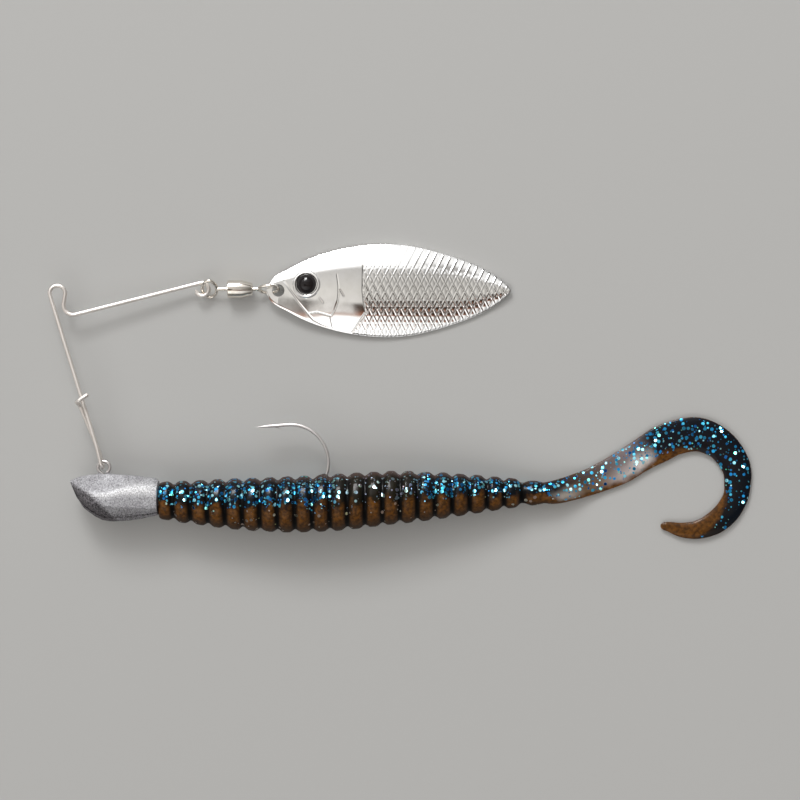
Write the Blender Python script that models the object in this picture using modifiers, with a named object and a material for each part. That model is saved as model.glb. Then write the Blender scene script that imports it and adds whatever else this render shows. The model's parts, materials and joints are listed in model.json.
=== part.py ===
"""Clip-on jig spinner with a curly-tail worm, lying on its side as it rests on a table.

A bent spring wire carries a willow-leaf blade on a swivel. It snaps through the eye of a lead jig,
and a ringed soft worm sits on the hook. +X points to the tail, +Y to the blade and +Z off the table.
Plan positions are taken from the centre of the jig eye until the whole lure is centred at the end.
"""
import math

import bmesh
import bpy
from mathutils import Matrix, Vector

MM = 0.001

# Clearances
LINK_GAP = 0.25 * MM
SEAT_GAP = 0.3 * MM
BORE_GAP = 0.2 * MM
TABLE_GAP = 0.1 * MM

# Spring wire: foot through the jig eye, leg, line tie, arm and end loop
WIRE_DIAMETER = 0.8 * MM
FOOT_PLAY = 0.25 * MM
FOOT_LENGTH = 4.35 * MM
FOOT_ANGLE = math.radians(104.5)
FOOT_TURN = math.radians(168)
KINK_RADIUS = 3.0 * MM
LEG_LENGTH = 33.6 * MM
LEG_ANGLE = math.radians(107.6)
TIE_WIDTH = 3.9 * MM
TIE_RADIUS = 1.5 * MM
STRAND_LENGTH = 6.55 * MM
STRAND_ANGLE = math.radians(-99.4)
ELBOW_RADIUS = 1.9 * MM
ARM_LENGTH = 28.6 * MM
ARM_ANGLE = math.radians(14.4)
LOOP_BORE = 1.8 * MM
LOOP_SWEEP = math.radians(272)

# Return strand of the wire and its latch over the leg
SNAP_LENGTH = 16.4 * MM
SNAP_ANGLE = math.radians(112)
LATCH_SIDE = 0.2 * MM
LATCH_REACH = 0.55 * MM
LATCH_LENGTH = 2.9 * MM
LATCH_ANGLE = math.radians(33)

# Swivel
RING_WIRE = 0.6 * MM
FRONT_RING_LENGTH = 3.5 * MM
FRONT_RING_HEIGHT = 5.0 * MM
FRONT_RING_TILT = math.radians(45)
FRONT_NECK = 2.2 * MM
BARREL_LENGTH = 5.0 * MM
BARREL_DIAMETER = 3.6 * MM
BARREL_TAIL_DIAMETER = 2.4 * MM
BARREL_STRAIGHT = 2.8 * MM
BARREL_WALL = 0.5 * MM
NECK_DIAMETER = 0.8 * MM
STEM_HEAD_DIAMETER = 1.3 * MM
STEM_HEAD_LENGTH = 0.6 * MM
REAR_NECK = 1.35 * MM
REAR_RING_LENGTH = 4.4 * MM
REAR_RING_HEIGHT = 3.4 * MM
REAR_RING_TILT = math.radians(62)

# Blade
BLADE_LENGTH = 49.1 * MM
BLADE_WIDTH = 18.6 * MM
BLADE_THICKNESS = 0.5 * MM
BLADE_HOLE = 2.5 * MM
BLADE_HOLE_SETBACK = 2.35 * MM
BLADE_CROWN = 0.4 * MM
BLADE_SAG = 1.75 * MM
BLADE_TIP_DROP = 1.0 * MM
BLADE_NOSE_POWERS = (0.55, 0.70)
BLADE_TAIL_POWERS = (1.15, 0.80)
EYE_DIAMETER = 4.1 * MM
EYE_HEIGHT = 1.1 * MM
EYE_RING_WIDTH = 0.6 * MM
EYE_RING_SINK = 0.12 * MM
EYE_FROM_NOSE = 8.0 * MM
EYE_OFF_AXIS = 0.98 * MM

# Lead head, with the keeper collar behind it
HEAD_LENGTH = 17.5 * MM
HEAD_WIDTH = 9.4 * MM
HEAD_ABOVE_SHANK = 5.24 * MM
HEAD_BELOW_SHANK = 4.12 * MM
HEAD_AHEAD_OF_EYE = 6.64 * MM
COLLAR_LENGTH = 6.0 * MM
COLLAR_DIAMETER = 3.0 * MM
COLLAR_BARB = 0.5 * MM

# Hook
HOOK_WIRE = 0.64 * MM
HOOK_EYE_BORE = 1.76 * MM
EYE_ABOVE_SHANK = 6.58 * MM
STEM_BEND_RADIUS = 2.0 * MM
BEND_RADIUS = 7.55 * MM
BEND_FROM_EYE = 37.2 * MM
POINT_LENGTH = 6.85 * MM
POINT_DROP = 0.5 * MM
POINT_TAPER = 3.0 * MM
BARB_FROM_BEND = 1.9 * MM
BARB_LENGTH = 1.7 * MM

# Soft worm
WORM_LENGTH = 76.3 * MM
WORM_FRONT_RADIUS = 3.7 * MM
WORM_BELLY_RADIUS = 5.65 * MM
WORM_ROOT_RADIUS = 2.2 * MM
WORM_BELLY_SAG = 0.8 * MM
WORM_ROOT_RISE = 1.4 * MM
RIB_COUNT = 21
RIB_PITCH = 3.46 * MM
RIB_START = 1.1 * MM
RIB_DEPTH = 0.7 * MM
TAIL_THICKNESS = 1.3 * MM
TAIL_REACH = 39.1 * MM
TAIL_WIDTH = 7.2 * MM
TAIL_BLEND = 12.0 * MM

# Normalised forms of the two free shapes: the cast head and the moulded tail
# Head: share of the length, then top, upper crease, lower crease and keel as shares of the height
# above (positive) or below (negative) the shank, and half the width as a share.
HEAD_SECTIONS = [
    (0.000, 0.76, 0.73, 0.70, 0.67, 0.10),
    (0.071, 0.87, 0.59, 0.38, 0.13, 0.42),
    (0.162, 0.95, 0.42, 0.08, -0.37, 0.77),
    (0.265, 0.99, 0.29, -0.15, -0.70, 0.96),
    (0.367, 1.00, 0.25, -0.21, -0.93, 1.00),
    (0.470, 1.00, 0.28, -0.23, -1.00, 1.00),
    (0.572, 0.98, 0.38, -0.27, -1.00, 1.00),
    (0.686, 0.95, 0.45, -0.29, -0.96, 1.00),
    (0.835, 0.90, 0.48, -0.32, -0.86, 1.00),
    (0.960, 0.83, 0.45, -0.34, -0.75, 0.93),
    (1.000, 0.74, 0.43, -0.34, -0.68, 0.88),
]
HEAD_TOP_WIDTH = 0.34
HEAD_KEEL_WIDTH = 0.26
# Tail: way along X and along Y as shares of the reach, and its width as a share of the widest
TAIL_CURL = [
    (0.000, 0.000, 0.58),
    (0.077, 0.007, 0.67),
    (0.250, 0.058, 0.75),
    (0.394, 0.123, 0.88),
    (0.496, 0.186, 0.90),
    (0.601, 0.247, 1.00),
    (0.675, 0.280, 0.97),
    (0.770, 0.299, 0.97),
    (0.847, 0.284, 0.93),
    (0.922, 0.238, 0.87),
    (0.976, 0.168, 0.84),
    (0.998, 0.109, 0.79),
    (1.000, 0.051, 0.75),
    (0.990, -0.024, 0.70),
    (0.945, -0.101, 0.69),
    (0.877, -0.159, 0.64),
    (0.795, -0.191, 0.51),
    (0.719, -0.193, 0.42),
    (0.650, -0.177, 0.29),
    (0.608, -0.171, 0.10),
]

# Places that several pieces share
WIRE_R = WIRE_DIAMETER / 2
HOOK_R = HOOK_WIRE / 2
RING_R = RING_WIRE / 2
JIG_Z = HEAD_WIDTH / 2
SHANK_Y = -EYE_ABOVE_SHANK
HEAD_REAR = HEAD_LENGTH - HEAD_AHEAD_OF_EYE
WORM_FRONT = HEAD_REAR + SEAT_GAP
STRAND_Z = WIRE_R + HOOK_R + LINK_GAP
LOOP_R = LOOP_BORE / 2 + WIRE_R
FRONT_RING_A = FRONT_RING_LENGTH / 2 - RING_R
FRONT_RING_B = FRONT_RING_HEIGHT / 2 - RING_R
REAR_RING_A = REAR_RING_LENGTH / 2 - RING_R
REAR_RING_B = REAR_RING_HEIGHT / 2 - RING_R
SWIVEL_Z = TABLE_GAP + max(
    FRONT_RING_B * math.sin(FRONT_RING_TILT) + RING_R,
    REAR_RING_HEIGHT / 2,
    BARREL_DIAMETER / 2,
)


def clear_scene():
    for obj in list(bpy.data.objects):
        bpy.data.objects.remove(obj, do_unlink=True)


def new_collection(name):
    made = bpy.data.collections.new(name)
    bpy.context.scene.collection.children.link(made)
    return made


def material(name, colour, roughness, metallic):
    made = bpy.data.materials.new(name)
    made.use_nodes = True
    shader = made.node_tree.nodes["Principled BSDF"]
    shader.inputs["Base Color"].default_value = (*colour, 1.0)
    shader.inputs["Roughness"].default_value = roughness
    shader.inputs["Metallic"].default_value = metallic
    return made


def direction(angle):
    return Vector((math.cos(angle), math.sin(angle), 0.0))


def smooth(value):
    value = min(max(value, 0.0), 1.0)
    return value * value * (3.0 - 2.0 * value)


def add_object(name, mesh, collection, finish=None):
    """Link a mesh as an object and shade its round faces smooth."""
    obj = bpy.data.objects.new(name, mesh)
    collection.objects.link(obj)
    if finish is not None:
        mesh.materials.append(finish)
    mesh.shade_smooth()
    mesh.set_sharp_from_angle(angle=math.radians(40))
    return obj


def rounded(corners, radii, steps=7):
    """Run straight between corners, with an arc of the given radius at each inner corner."""
    path = [corners[0]]
    for before, corner, after, radius in zip(corners, corners[1:], corners[2:], radii):
        into = (corner - before).normalized()
        out = (after - corner).normalized()
        turn = into.angle(out)
        side = (out - into).normalized()
        centre = corner + side * (radius / math.cos(turn / 2))
        axis = into.cross(out).normalized()
        arm = corner - into * (radius * math.tan(turn / 2)) - centre
        for step in range(steps + 1):
            path.append(centre + Matrix.Rotation(turn * step / steps, 3, axis) @ arm)
    path.append(corners[-1])
    return path


def arc(centre, radius, start, sweep, steps):
    return [centre + direction(start + sweep * n / steps) * radius for n in range(steps + 1)]


def wire_mesh(path, radius, shares=None, cyclic=False):
    """Sweep a round wire along a path and return it as a closed mesh."""
    curve = bpy.data.curves.new("wire_path", "CURVE")
    curve.dimensions = "3D"
    curve.bevel_depth = radius
    curve.bevel_resolution = 2
    curve.render_resolution_u = 0
    curve.use_fill_caps = not cyclic
    spline = curve.splines.new("POLY")
    spline.points.add(len(path) - 1)
    for n, point in enumerate(path):
        spline.points[n].co = (*point, 1.0)
        spline.points[n].radius = shares[n] if shares else 1.0
    spline.use_cyclic_u = cyclic
    guide = bpy.data.objects.new("wire_guide", curve)
    bpy.context.scene.collection.objects.link(guide)
    bpy.context.view_layer.update()
    evaluated = guide.evaluated_get(bpy.context.evaluated_depsgraph_get())
    mesh = bpy.data.meshes.new_from_object(evaluated)
    bpy.data.objects.remove(guide, do_unlink=True)
    welded = bmesh.new()
    welded.from_mesh(mesh)
    bmesh.ops.remove_doubles(welded, verts=welded.verts, dist=radius * 0.002)
    bmesh.ops.recalc_face_normals(welded, faces=welded.faces)
    welded.to_mesh(mesh)
    welded.free()
    return mesh


def loft_mesh(name, rings):
    """Skin a row of unlike sections that have the same number of points, and close both ends."""
    skin = bmesh.new()
    rows = [[skin.verts.new(point) for point in ring] for ring in rings]
    for row, following in zip(rows, rows[1:]):
        for n in range(len(row)):
            after = (n + 1) % len(row)
            skin.faces.new((row[n], row[after], following[after], following[n]))
    skin.faces.new(rows[0])
    skin.faces.new(rows[-1])
    bmesh.ops.recalc_face_normals(skin, faces=skin.faces)
    mesh = bpy.data.meshes.new(name)
    skin.to_mesh(mesh)
    skin.free()
    return mesh


def turned(name, profile, steps, collection, finish=None):
    """Turn a profile of (along, radius) points about the X axis."""
    mesh = bpy.data.meshes.new(name)
    outline = bmesh.new()
    points = [outline.verts.new((radius, 0.0, -along)) for along, radius in profile]
    for n, point in enumerate(points):
        if n + 1 < len(points) or profile[0][1] > 0.0:
            outline.edges.new((point, points[(n + 1) % len(points)]))
    outline.to_mesh(mesh)
    outline.free()
    obj = bpy.data.objects.new(name, mesh)
    collection.objects.link(obj)
    if finish is not None:
        mesh.materials.append(finish)
    screw = obj.modifiers.new("Turn", "SCREW")
    screw.steps = steps
    screw.render_steps = steps
    screw.use_merge_vertices = True
    screw.merge_threshold = 0.000001
    screw.use_smooth_shade = True
    obj.matrix_world = Matrix.Rotation(math.radians(-90), 4, "Y")
    return obj


def applied(obj):
    """Put an object's modifiers and placing into its mesh."""
    bpy.context.view_layer.update()
    evaluated = obj.evaluated_get(bpy.context.evaluated_depsgraph_get())
    mesh = bpy.data.meshes.new_from_object(evaluated)
    mesh.transform(obj.matrix_world)
    old = obj.data
    obj.modifiers.clear()
    obj.data = mesh
    obj.matrix_world = Matrix.Identity(4)
    bpy.data.meshes.remove(old)
    return obj


def combine(obj, other, operation):
    step = obj.modifiers.new(operation.title(), "BOOLEAN")
    step.operation = operation
    step.solver = "EXACT"
    step.object = other
    other.hide_render = True
    other.display_type = "WIRE"


def pivot(name, place, parent, collection):
    """An empty on a joint's axis that carries the pieces of one moving body."""
    empty = bpy.data.objects.new(name, None)
    empty.empty_display_size = 2 * MM
    collection.objects.link(empty)
    empty.location = place - (parent.matrix_world.translation if parent else Vector())
    empty.parent = parent
    bpy.context.view_layer.update()
    return empty


def attach(empty, *pieces):
    """Hang pieces on a pivot, with their origins on its axis."""
    for piece in pieces:
        piece.data.transform(Matrix.Translation(-empty.matrix_world.translation))
        piece.parent = empty


def wire_corners():
    """Corners of the wire in plan, from its foot in the jig eye to the start of the end loop."""
    foot = Vector((-FOOT_PLAY, 0.0, 0.0))
    kink = foot + direction(FOOT_ANGLE) * FOOT_LENGTH
    tie_left = kink + direction(LEG_ANGLE) * LEG_LENGTH
    tie_right = tie_left + Vector((TIE_WIDTH, 0.0, 0.0))
    elbow = tie_right + direction(STRAND_ANGLE) * STRAND_LENGTH
    loop_start = elbow + direction(ARM_ANGLE) * ARM_LENGTH
    return foot, kink, tie_left, tie_right, elbow, loop_start


def sloped(path, start_z, end_z):
    """Lay a plan path on an even slope from one height to another."""
    lengths = [0.0]
    for before, after in zip(path, path[1:]):
        lengths.append(lengths[-1] + (after - before).length)
    return [
        Vector((point.x, point.y, start_z + (end_z - start_z) * run / lengths[-1]))
        for point, run in zip(path, lengths)
    ]


def worm_radius(share):
    """Radius over the rings: full at the belly, thin at the tail root."""
    belly_from, belly_to = 0.40, 0.46
    if share < belly_from:
        rise = math.sin(math.pi / 2 * share / belly_from)
        return WORM_FRONT_RADIUS + (WORM_BELLY_RADIUS - WORM_FRONT_RADIUS) * rise
    fall = max(share - belly_to, 0.0) / (1.0 - belly_to)
    return WORM_ROOT_RADIUS + (WORM_BELLY_RADIUS - WORM_ROOT_RADIUS) * math.cos(math.pi / 2 * fall)


def worm_axis(share):
    """Centre line of the worm: level at the head, then lying on the table."""
    sag = WORM_BELLY_SAG * math.sin(math.pi * min(share / 0.6, 1.0))
    rise = WORM_ROOT_RISE * smooth((share - 0.3) / 0.7)
    lift = (JIG_Z - WORM_FRONT_RADIUS) * (1.0 - smooth(share / 0.25))
    return Vector((
        WORM_FRONT + WORM_LENGTH * share,
        SHANK_Y - sag + rise,
        worm_radius(share) + lift,
    ))


def blade_half_width(share):
    """Half the leaf's width: blunt at the nose, and running finer to a rounded tip."""
    if share < 0.5:
        start, end = BLADE_NOSE_POWERS
        power = start + (end - start) * smooth(share / 0.1)
    else:
        start, end = BLADE_TAIL_POWERS
        power = start + (end - start) * smooth((share - 0.6) / 0.35)
    return BLADE_WIDTH / 2 * (4.0 * share * (1.0 - share)) ** power


def blade_height(share, across):
    """Height of the blade's middle surface over the swivel axis."""
    fullness = blade_half_width(share) / (BLADE_WIDTH / 2)
    hole_share = BLADE_HOLE_SETBACK / BLADE_LENGTH
    crown = BLADE_CROWN * math.sin(math.pi * min(max(share - hole_share, 0.0) / 0.7, 1.0))
    drop = BLADE_TIP_DROP * smooth((share - 0.35) / 0.65)
    return crown - drop - BLADE_SAG * fullness ** 1.6 * across * across * (1.0 - 0.45 * smooth((share - 0.5) * 2))


def catmull(points, pieces):
    """A smooth run through hand-set points."""
    run = []
    for n in range(len(points) - 1):
        a = points[max(n - 1, 0)]
        b = points[n]
        c = points[n + 1]
        d = points[min(n + 2, len(points) - 1)]
        for step in range(pieces):
            t = step / pieces
            run.append(tuple(
                0.5 * (2 * q + (r - p) * t + (2 * p - 5 * q + 4 * r - s) * t * t
                       + (3 * q - p - 3 * r + s) * t ** 3)
                for p, q, r, s in zip(a, b, c, d)
            ))
    run.append(points[-1])
    return run


def make_hook_path():
    """Hook wire from the end of its eye, down the stem, along the shank and round to the point."""
    eye_r = HOOK_EYE_BORE / 2 + HOOK_R
    eye = Vector((0.0, 0.0, JIG_Z))
    leave = math.radians(236)
    path = arc(eye, eye_r, math.radians(-58), leave - math.radians(-58), 16)
    stem_top = path[-1] + direction(leave + math.pi / 2) * HOOK_WIRE * 0.9
    stem_foot = Vector((stem_top.x, SHANK_Y, JIG_Z))
    bend = Vector((BEND_FROM_EYE, SHANK_Y + BEND_RADIUS, JIG_Z))
    shank = rounded(
        [path[-1], stem_top, stem_foot, Vector((bend.x, SHANK_Y, JIG_Z))],
        [HOOK_WIRE * 0.8, STEM_BEND_RADIUS],
    )
    path += shank[1:-1]
    path += arc(bend, BEND_RADIUS, -math.pi / 2, math.pi, 18)
    point = bend + Vector((-POINT_LENGTH, BEND_RADIUS - POINT_DROP, 0.0))
    along = point - path[-1]
    taper = path[-1] + along * (1.0 - POINT_TAPER / along.length)
    shares = [1.0] * len(path) + [1.0, 0.6, 0.06]
    path += [taper, (taper + point * 2) / 3, point]
    return path, shares


def make_wire_arm(parts, finish):
    foot, kink, tie_left, tie_right, elbow, loop_start = wire_corners()
    into = direction(FOOT_ANGLE)
    run = rounded(
        [foot + into * STRAND_Z, kink, tie_left, tie_right, elbow, loop_start],
        [KINK_RADIUS, TIE_RADIUS, TIE_RADIUS, ELBOW_RADIUS],
    )
    run = sloped(run, JIG_Z + STRAND_Z, SWIVEL_Z)
    loop_centre = loop_start + direction(ARM_ANGLE - math.pi / 2) * LOOP_R
    loop_centre.z = SWIVEL_Z
    run += arc(loop_centre, LOOP_R, ARM_ANGLE + math.pi / 2, -LOOP_SWEEP, 20)[1:]
    turn = []
    for n in range(9):
        angle = FOOT_TURN * (1 - n / 9)
        reach = STRAND_Z * (1.0 - math.sin(angle))
        turn.append(foot + into * reach + Vector((0.0, 0.0, JIG_Z + STRAND_Z * math.cos(angle))))
    obj = add_object("wire_arm", wire_mesh(turn + run, WIRE_R), parts, finish)
    return obj, loop_centre


def make_snap_arm(parts, finish, leg_z):
    foot = wire_corners()[0]
    into = direction(FOOT_ANGLE)
    hinge = foot + into * STRAND_Z + Vector((0.0, 0.0, JIG_Z - STRAND_Z))
    start = hinge + into * SEAT_GAP
    knee = start + into * WIRE_DIAMETER * 2
    out = direction(SNAP_ANGLE)
    top = knee + out * SNAP_LENGTH * 0.62
    top.z = start.z + WIRE_DIAMETER * 0.4
    over = leg_z + WIRE_DIAMETER + LINK_GAP
    wrap = top + out * WIRE_DIAMETER + Vector((-LATCH_SIDE, 0.0, 0.0))
    wrap.z = (top.z + over) / 2
    across = direction(LATCH_ANGLE)
    crest = wrap + across * LATCH_REACH
    crest.z = over
    tip = crest + across * (LATCH_LENGTH - LATCH_REACH)
    tip.z = over
    path = rounded(
        [start, knee, top, wrap, crest, tip],
        [WIRE_DIAMETER * 2, WIRE_R, WIRE_R, WIRE_R],
        steps=4,
    )
    obj = add_object("snap_arm", wire_mesh(path, WIRE_R), parts, finish)
    return obj, hinge


def ring_path(centre, half_length, half_height, tilt, steps=22):
    """An oval ring whose long way lies along X, leaning about X by the tilt."""
    path = []
    for n in range(steps):
        angle = math.tau * n / steps
        up = half_height * math.sin(angle)
        path.append(centre + Vector((
            half_length * math.cos(angle),
            up * math.cos(tilt),
            up * math.sin(tilt),
        )))
    return path


def stem(name, start, end, head_at_end, collection):
    """Neck of a swivel eye, with the head that is trapped in the barrel."""
    length = end - start
    neck_r = NECK_DIAMETER / 2
    head_r = STEM_HEAD_DIAMETER / 2
    if head_at_end:
        profile = [
            (0.0, 0.0), (0.0, neck_r), (length - STEM_HEAD_LENGTH, neck_r),
            (length - STEM_HEAD_LENGTH, head_r), (length, head_r), (length, 0.0),
        ]
    else:
        profile = [
            (0.0, 0.0), (0.0, head_r), (STEM_HEAD_LENGTH, head_r),
            (STEM_HEAD_LENGTH, neck_r), (length, neck_r), (length, 0.0),
        ]
    return turned(name, profile, 12, collection)


def main():
    clear_scene()
    parts = new_collection("jig_spinner")
    cutters = new_collection("jig_spinner_cutters")

    wire_steel = material("wire_steel", (0.72, 0.69, 0.66), 0.28, 1.0)
    nickel = material("nickel", (0.78, 0.74, 0.69), 0.2, 1.0)
    chrome = material("chrome", (0.86, 0.86, 0.85), 0.12, 1.0)
    black = material("black_eye", (0.012, 0.011, 0.013), 0.08, 0.0)
    lead = material("lead", (0.52, 0.52, 0.54), 0.6, 0.8)
    hook_steel = material("hook_steel", (0.62, 0.61, 0.6), 0.3, 1.0)
    rubber = material("worm_rubber", (0.05, 0.09, 0.11), 0.3, 0.0)

    lure = pivot("lure", Vector(), None, parts)

    # Wire arm, snap and the shared places at their ends
    wire_arm, loop_centre = make_wire_arm(parts, wire_steel)
    snap_arm, snap_hinge = make_snap_arm(parts, wire_steel, JIG_Z + STRAND_Z)
    axis_y = loop_centre.y

    # Swivel: front eye, barrel and rear eye on one axis
    front_centre = Vector((loop_centre.x + FRONT_RING_A, axis_y, SWIVEL_Z))
    front_end = front_centre.x + FRONT_RING_A
    barrel_start = front_end + FRONT_NECK
    barrel_end = barrel_start + BARREL_LENGTH
    rear_start = barrel_end + REAR_NECK
    rear_centre = Vector((rear_start + REAR_RING_A, axis_y, SWIVEL_Z))
    hole = Vector((rear_centre.x + REAR_RING_A, axis_y, SWIVEL_Z))
    neck_bore = NECK_DIAMETER / 2 + BORE_GAP
    head_space = STEM_HEAD_DIAMETER / 2 + BORE_GAP

    front_eye = add_object(
        "swivel_front_eye",
        wire_mesh(ring_path(front_centre, FRONT_RING_A, FRONT_RING_B, FRONT_RING_TILT), RING_R, cyclic=True),
        parts, nickel,
    )
    front_head = barrel_start + BARREL_WALL + BORE_GAP + STEM_HEAD_LENGTH
    front_stem = stem("front_stem", front_end, front_head, True, cutters)
    applied(front_stem)
    front_stem.data.transform(Matrix.Translation((front_end, axis_y, SWIVEL_Z)))
    combine(front_eye, front_stem, "UNION")

    barrel_r = BARREL_DIAMETER / 2
    tail_r = BARREL_TAIL_DIAMETER / 2
    barrel = turned("swivel_barrel", [
        (0.0, neck_bore), (0.0, barrel_r), (BARREL_STRAIGHT, barrel_r),
        (BARREL_LENGTH, tail_r), (BARREL_LENGTH, neck_bore),
        (BARREL_LENGTH - BARREL_WALL, neck_bore), (BARREL_LENGTH - BARREL_WALL, head_space),
        (BARREL_WALL, head_space), (BARREL_WALL, neck_bore),
    ], 20, parts, nickel)
    applied(barrel)
    barrel.data.transform(Matrix.Translation((barrel_start, axis_y, SWIVEL_Z)))

    rear_eye = add_object(
        "swivel_rear_eye",
        wire_mesh(ring_path(rear_centre, REAR_RING_A, REAR_RING_B, REAR_RING_TILT), RING_R, cyclic=True),
        parts, nickel,
    )
    rear_head = barrel_end - BARREL_WALL - BORE_GAP - STEM_HEAD_LENGTH
    rear_stem = stem("rear_stem", rear_head, rear_start, False, cutters)
    applied(rear_stem)
    rear_stem.data.transform(Matrix.Translation((rear_head, axis_y, SWIVEL_Z)))
    combine(rear_eye, rear_stem, "UNION")

    # Blade: sections across a domed leaf, with the hole and the raised ring round the eye
    nose_x = hole.x - BLADE_HOLE_SETBACK
    stations = 30
    sides = 8
    rings = []
    for n in range(stations + 1):
        share = 0.004 + 0.992 * (0.5 - 0.5 * math.cos(math.pi * n / stations))
        half = blade_half_width(share)
        upper = []
        lower = []
        for m in range(sides + 1):
            across = 2.0 * m / sides - 1.0
            middle = Vector((
                nose_x + BLADE_LENGTH * share,
                axis_y + half * across,
                SWIVEL_Z + blade_height(share, across),
            ))
            upper.append(middle + Vector((0.0, 0.0, BLADE_THICKNESS / 2)))
            lower.append(middle - Vector((0.0, 0.0, BLADE_THICKNESS / 2)))
        rings.append(upper + lower[::-1])
    blade = add_object("blade", loft_mesh("blade", rings), parts, chrome)
    bpy.ops.mesh.primitive_cylinder_add(
        vertices=24, radius=BLADE_HOLE / 2, depth=BLADE_THICKNESS * 8, location=hole)
    drill = bpy.context.object
    drill.name = "blade_drill"
    combine(blade, drill, "DIFFERENCE")

    eye_share = EYE_FROM_NOSE / BLADE_LENGTH
    eye_across = EYE_OFF_AXIS / blade_half_width(eye_share)
    eye_seat = Vector((
        nose_x + EYE_FROM_NOSE,
        axis_y + EYE_OFF_AXIS,
        SWIVEL_Z + blade_height(eye_share, eye_across) + BLADE_THICKNESS / 2,
    ))
    bead_r = EYE_DIAMETER / 2
    ring_r = bead_r + BORE_GAP + EYE_RING_WIDTH / 2
    bpy.ops.mesh.primitive_torus_add(
        major_segments=24, minor_segments=8, major_radius=ring_r, minor_radius=EYE_RING_WIDTH / 2,
        location=eye_seat - Vector((0.0, 0.0, EYE_RING_SINK)))
    eye_ring = bpy.context.object
    eye_ring.name = "eye_ring"
    combine(blade, eye_ring, "UNION")

    dome_r = (bead_r ** 2 + EYE_HEIGHT ** 2) / (2 * EYE_HEIGHT)
    spread = math.asin(min(bead_r / dome_r, 1.0))
    profile = [(0.0, 0.0)]
    profile += [
        (EYE_HEIGHT - dome_r * (1 - math.cos(spread * n / 5)), dome_r * math.sin(spread * n / 5))
        for n in range(5, 0, -1)
    ]
    profile += [(EYE_HEIGHT, 0.0)]
    blade_eye = turned("blade_eye", profile, 20, parts, black)
    applied(blade_eye)
    stand = Matrix.Rotation(math.radians(-90), 4, "Y")
    seat_drop = 0.5 * BLADE_SAG * eye_across * eye_across
    blade_eye.data.transform(
        Matrix.Translation(eye_seat + Vector((0.0, 0.0, SEAT_GAP - seat_drop))) @ stand)

    # Jig head and hook
    nose = Vector((-HEAD_AHEAD_OF_EYE, SHANK_Y, JIG_Z))
    rings = []
    for share, top, upper, lower, keel, wide in HEAD_SECTIONS:
        half = HEAD_WIDTH / 2 * wide
        outline = []
        for height, width in ((top, HEAD_TOP_WIDTH), (upper, 1.0), (lower, 1.0), (keel, HEAD_KEEL_WIDTH)):
            reach = HEAD_ABOVE_SHANK if height > 0 else HEAD_BELOW_SHANK
            outline.append((height * reach, half * width))
        section = [Vector((HEAD_LENGTH * share, y, z)) for y, z in outline]
        section += [Vector((HEAD_LENGTH * share, y, -z)) for y, z in reversed(outline)]
        rings.append([nose + point for point in section])
    collar_r = COLLAR_DIAMETER / 2
    collar = [
        (0.0, collar_r), (COLLAR_LENGTH * 0.72, collar_r),
        (COLLAR_LENGTH * 0.75, collar_r + COLLAR_BARB), (COLLAR_LENGTH, collar_r * 0.7),
    ]
    for along, radius in collar:
        rings.append([
            nose + Vector((HEAD_LENGTH + along, radius * math.sin(turn), radius * math.cos(turn)))
            for turn in (math.radians(67.5 - 45 * n) for n in range(8))
        ])
    jig_head = add_object("jig_head", loft_mesh("jig_head", rings), parts, lead)
    hook_path, hook_shares = make_hook_path()
    jig_hook = add_object("jig_hook", wire_mesh(hook_path, HOOK_R, hook_shares), parts, hook_steel)
    channel = add_object("hook_channel", wire_mesh(hook_path, HOOK_R + BORE_GAP), cutters)
    combine(jig_head, channel, "DIFFERENCE")

    bend_top = Vector((BEND_FROM_EYE, SHANK_Y + 2 * BEND_RADIUS, JIG_Z))
    barb_root = bend_top + Vector((-BARB_FROM_BEND - BARB_LENGTH, -HOOK_R * 0.3, 0.0))
    barb_tip = bend_top + Vector((-BARB_FROM_BEND, -HOOK_R - BARB_LENGTH * 0.35, 0.0))
    barb = add_object("hook_barb", wire_mesh([barb_root, barb_tip], HOOK_R * 0.75, [1.0, 0.12]), cutters)
    combine(jig_hook, barb, "UNION")

    # Worm: one ring of points on each crest and in each groove, then a smooth root
    spots = [(0.0, WORM_FRONT_RADIUS - RIB_DEPTH)]
    for n in range(RIB_COUNT):
        crest = RIB_START + RIB_PITCH * n
        share = crest / WORM_LENGTH
        for shift, depth in ((-0.26, 0.35), (-0.1, 0.0), (0.1, 0.0), (0.26, 0.35), (0.5, 1.0)):
            along = crest + RIB_PITCH * shift
            if along > spots[-1][0]:
                spots.append((along, worm_radius(along / WORM_LENGTH) - RIB_DEPTH * depth))
    spots.append(((spots[-1][0] + WORM_LENGTH) / 2, worm_radius((spots[-1][0] / WORM_LENGTH + 1) / 2)))
    spots.append((WORM_LENGTH, WORM_ROOT_RADIUS))
    around = 16
    rings = []
    for along, radius in spots:
        centre = worm_axis(along / WORM_LENGTH)
        rings.append([
            centre + Vector((0.0, radius * math.cos(turn), radius * math.sin(turn)))
            for turn in (math.tau * (n + 0.5) / around for n in range(around))
        ])
    worm_body = add_object("worm_body", loft_mesh("worm_body", rings), parts, rubber)
    bpy.ops.mesh.primitive_cylinder_add(
        vertices=16, radius=collar_r + COLLAR_BARB + BORE_GAP, depth=2 * (COLLAR_LENGTH + SEAT_GAP),
        location=(HEAD_REAR, SHANK_Y, JIG_Z), rotation=(0.0, math.radians(90), 0.0))
    pocket = bpy.context.object
    pocket.name = "collar_pocket"
    combine(worm_body, pocket, "DIFFERENCE")
    combine(worm_body, channel, "DIFFERENCE")

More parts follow.
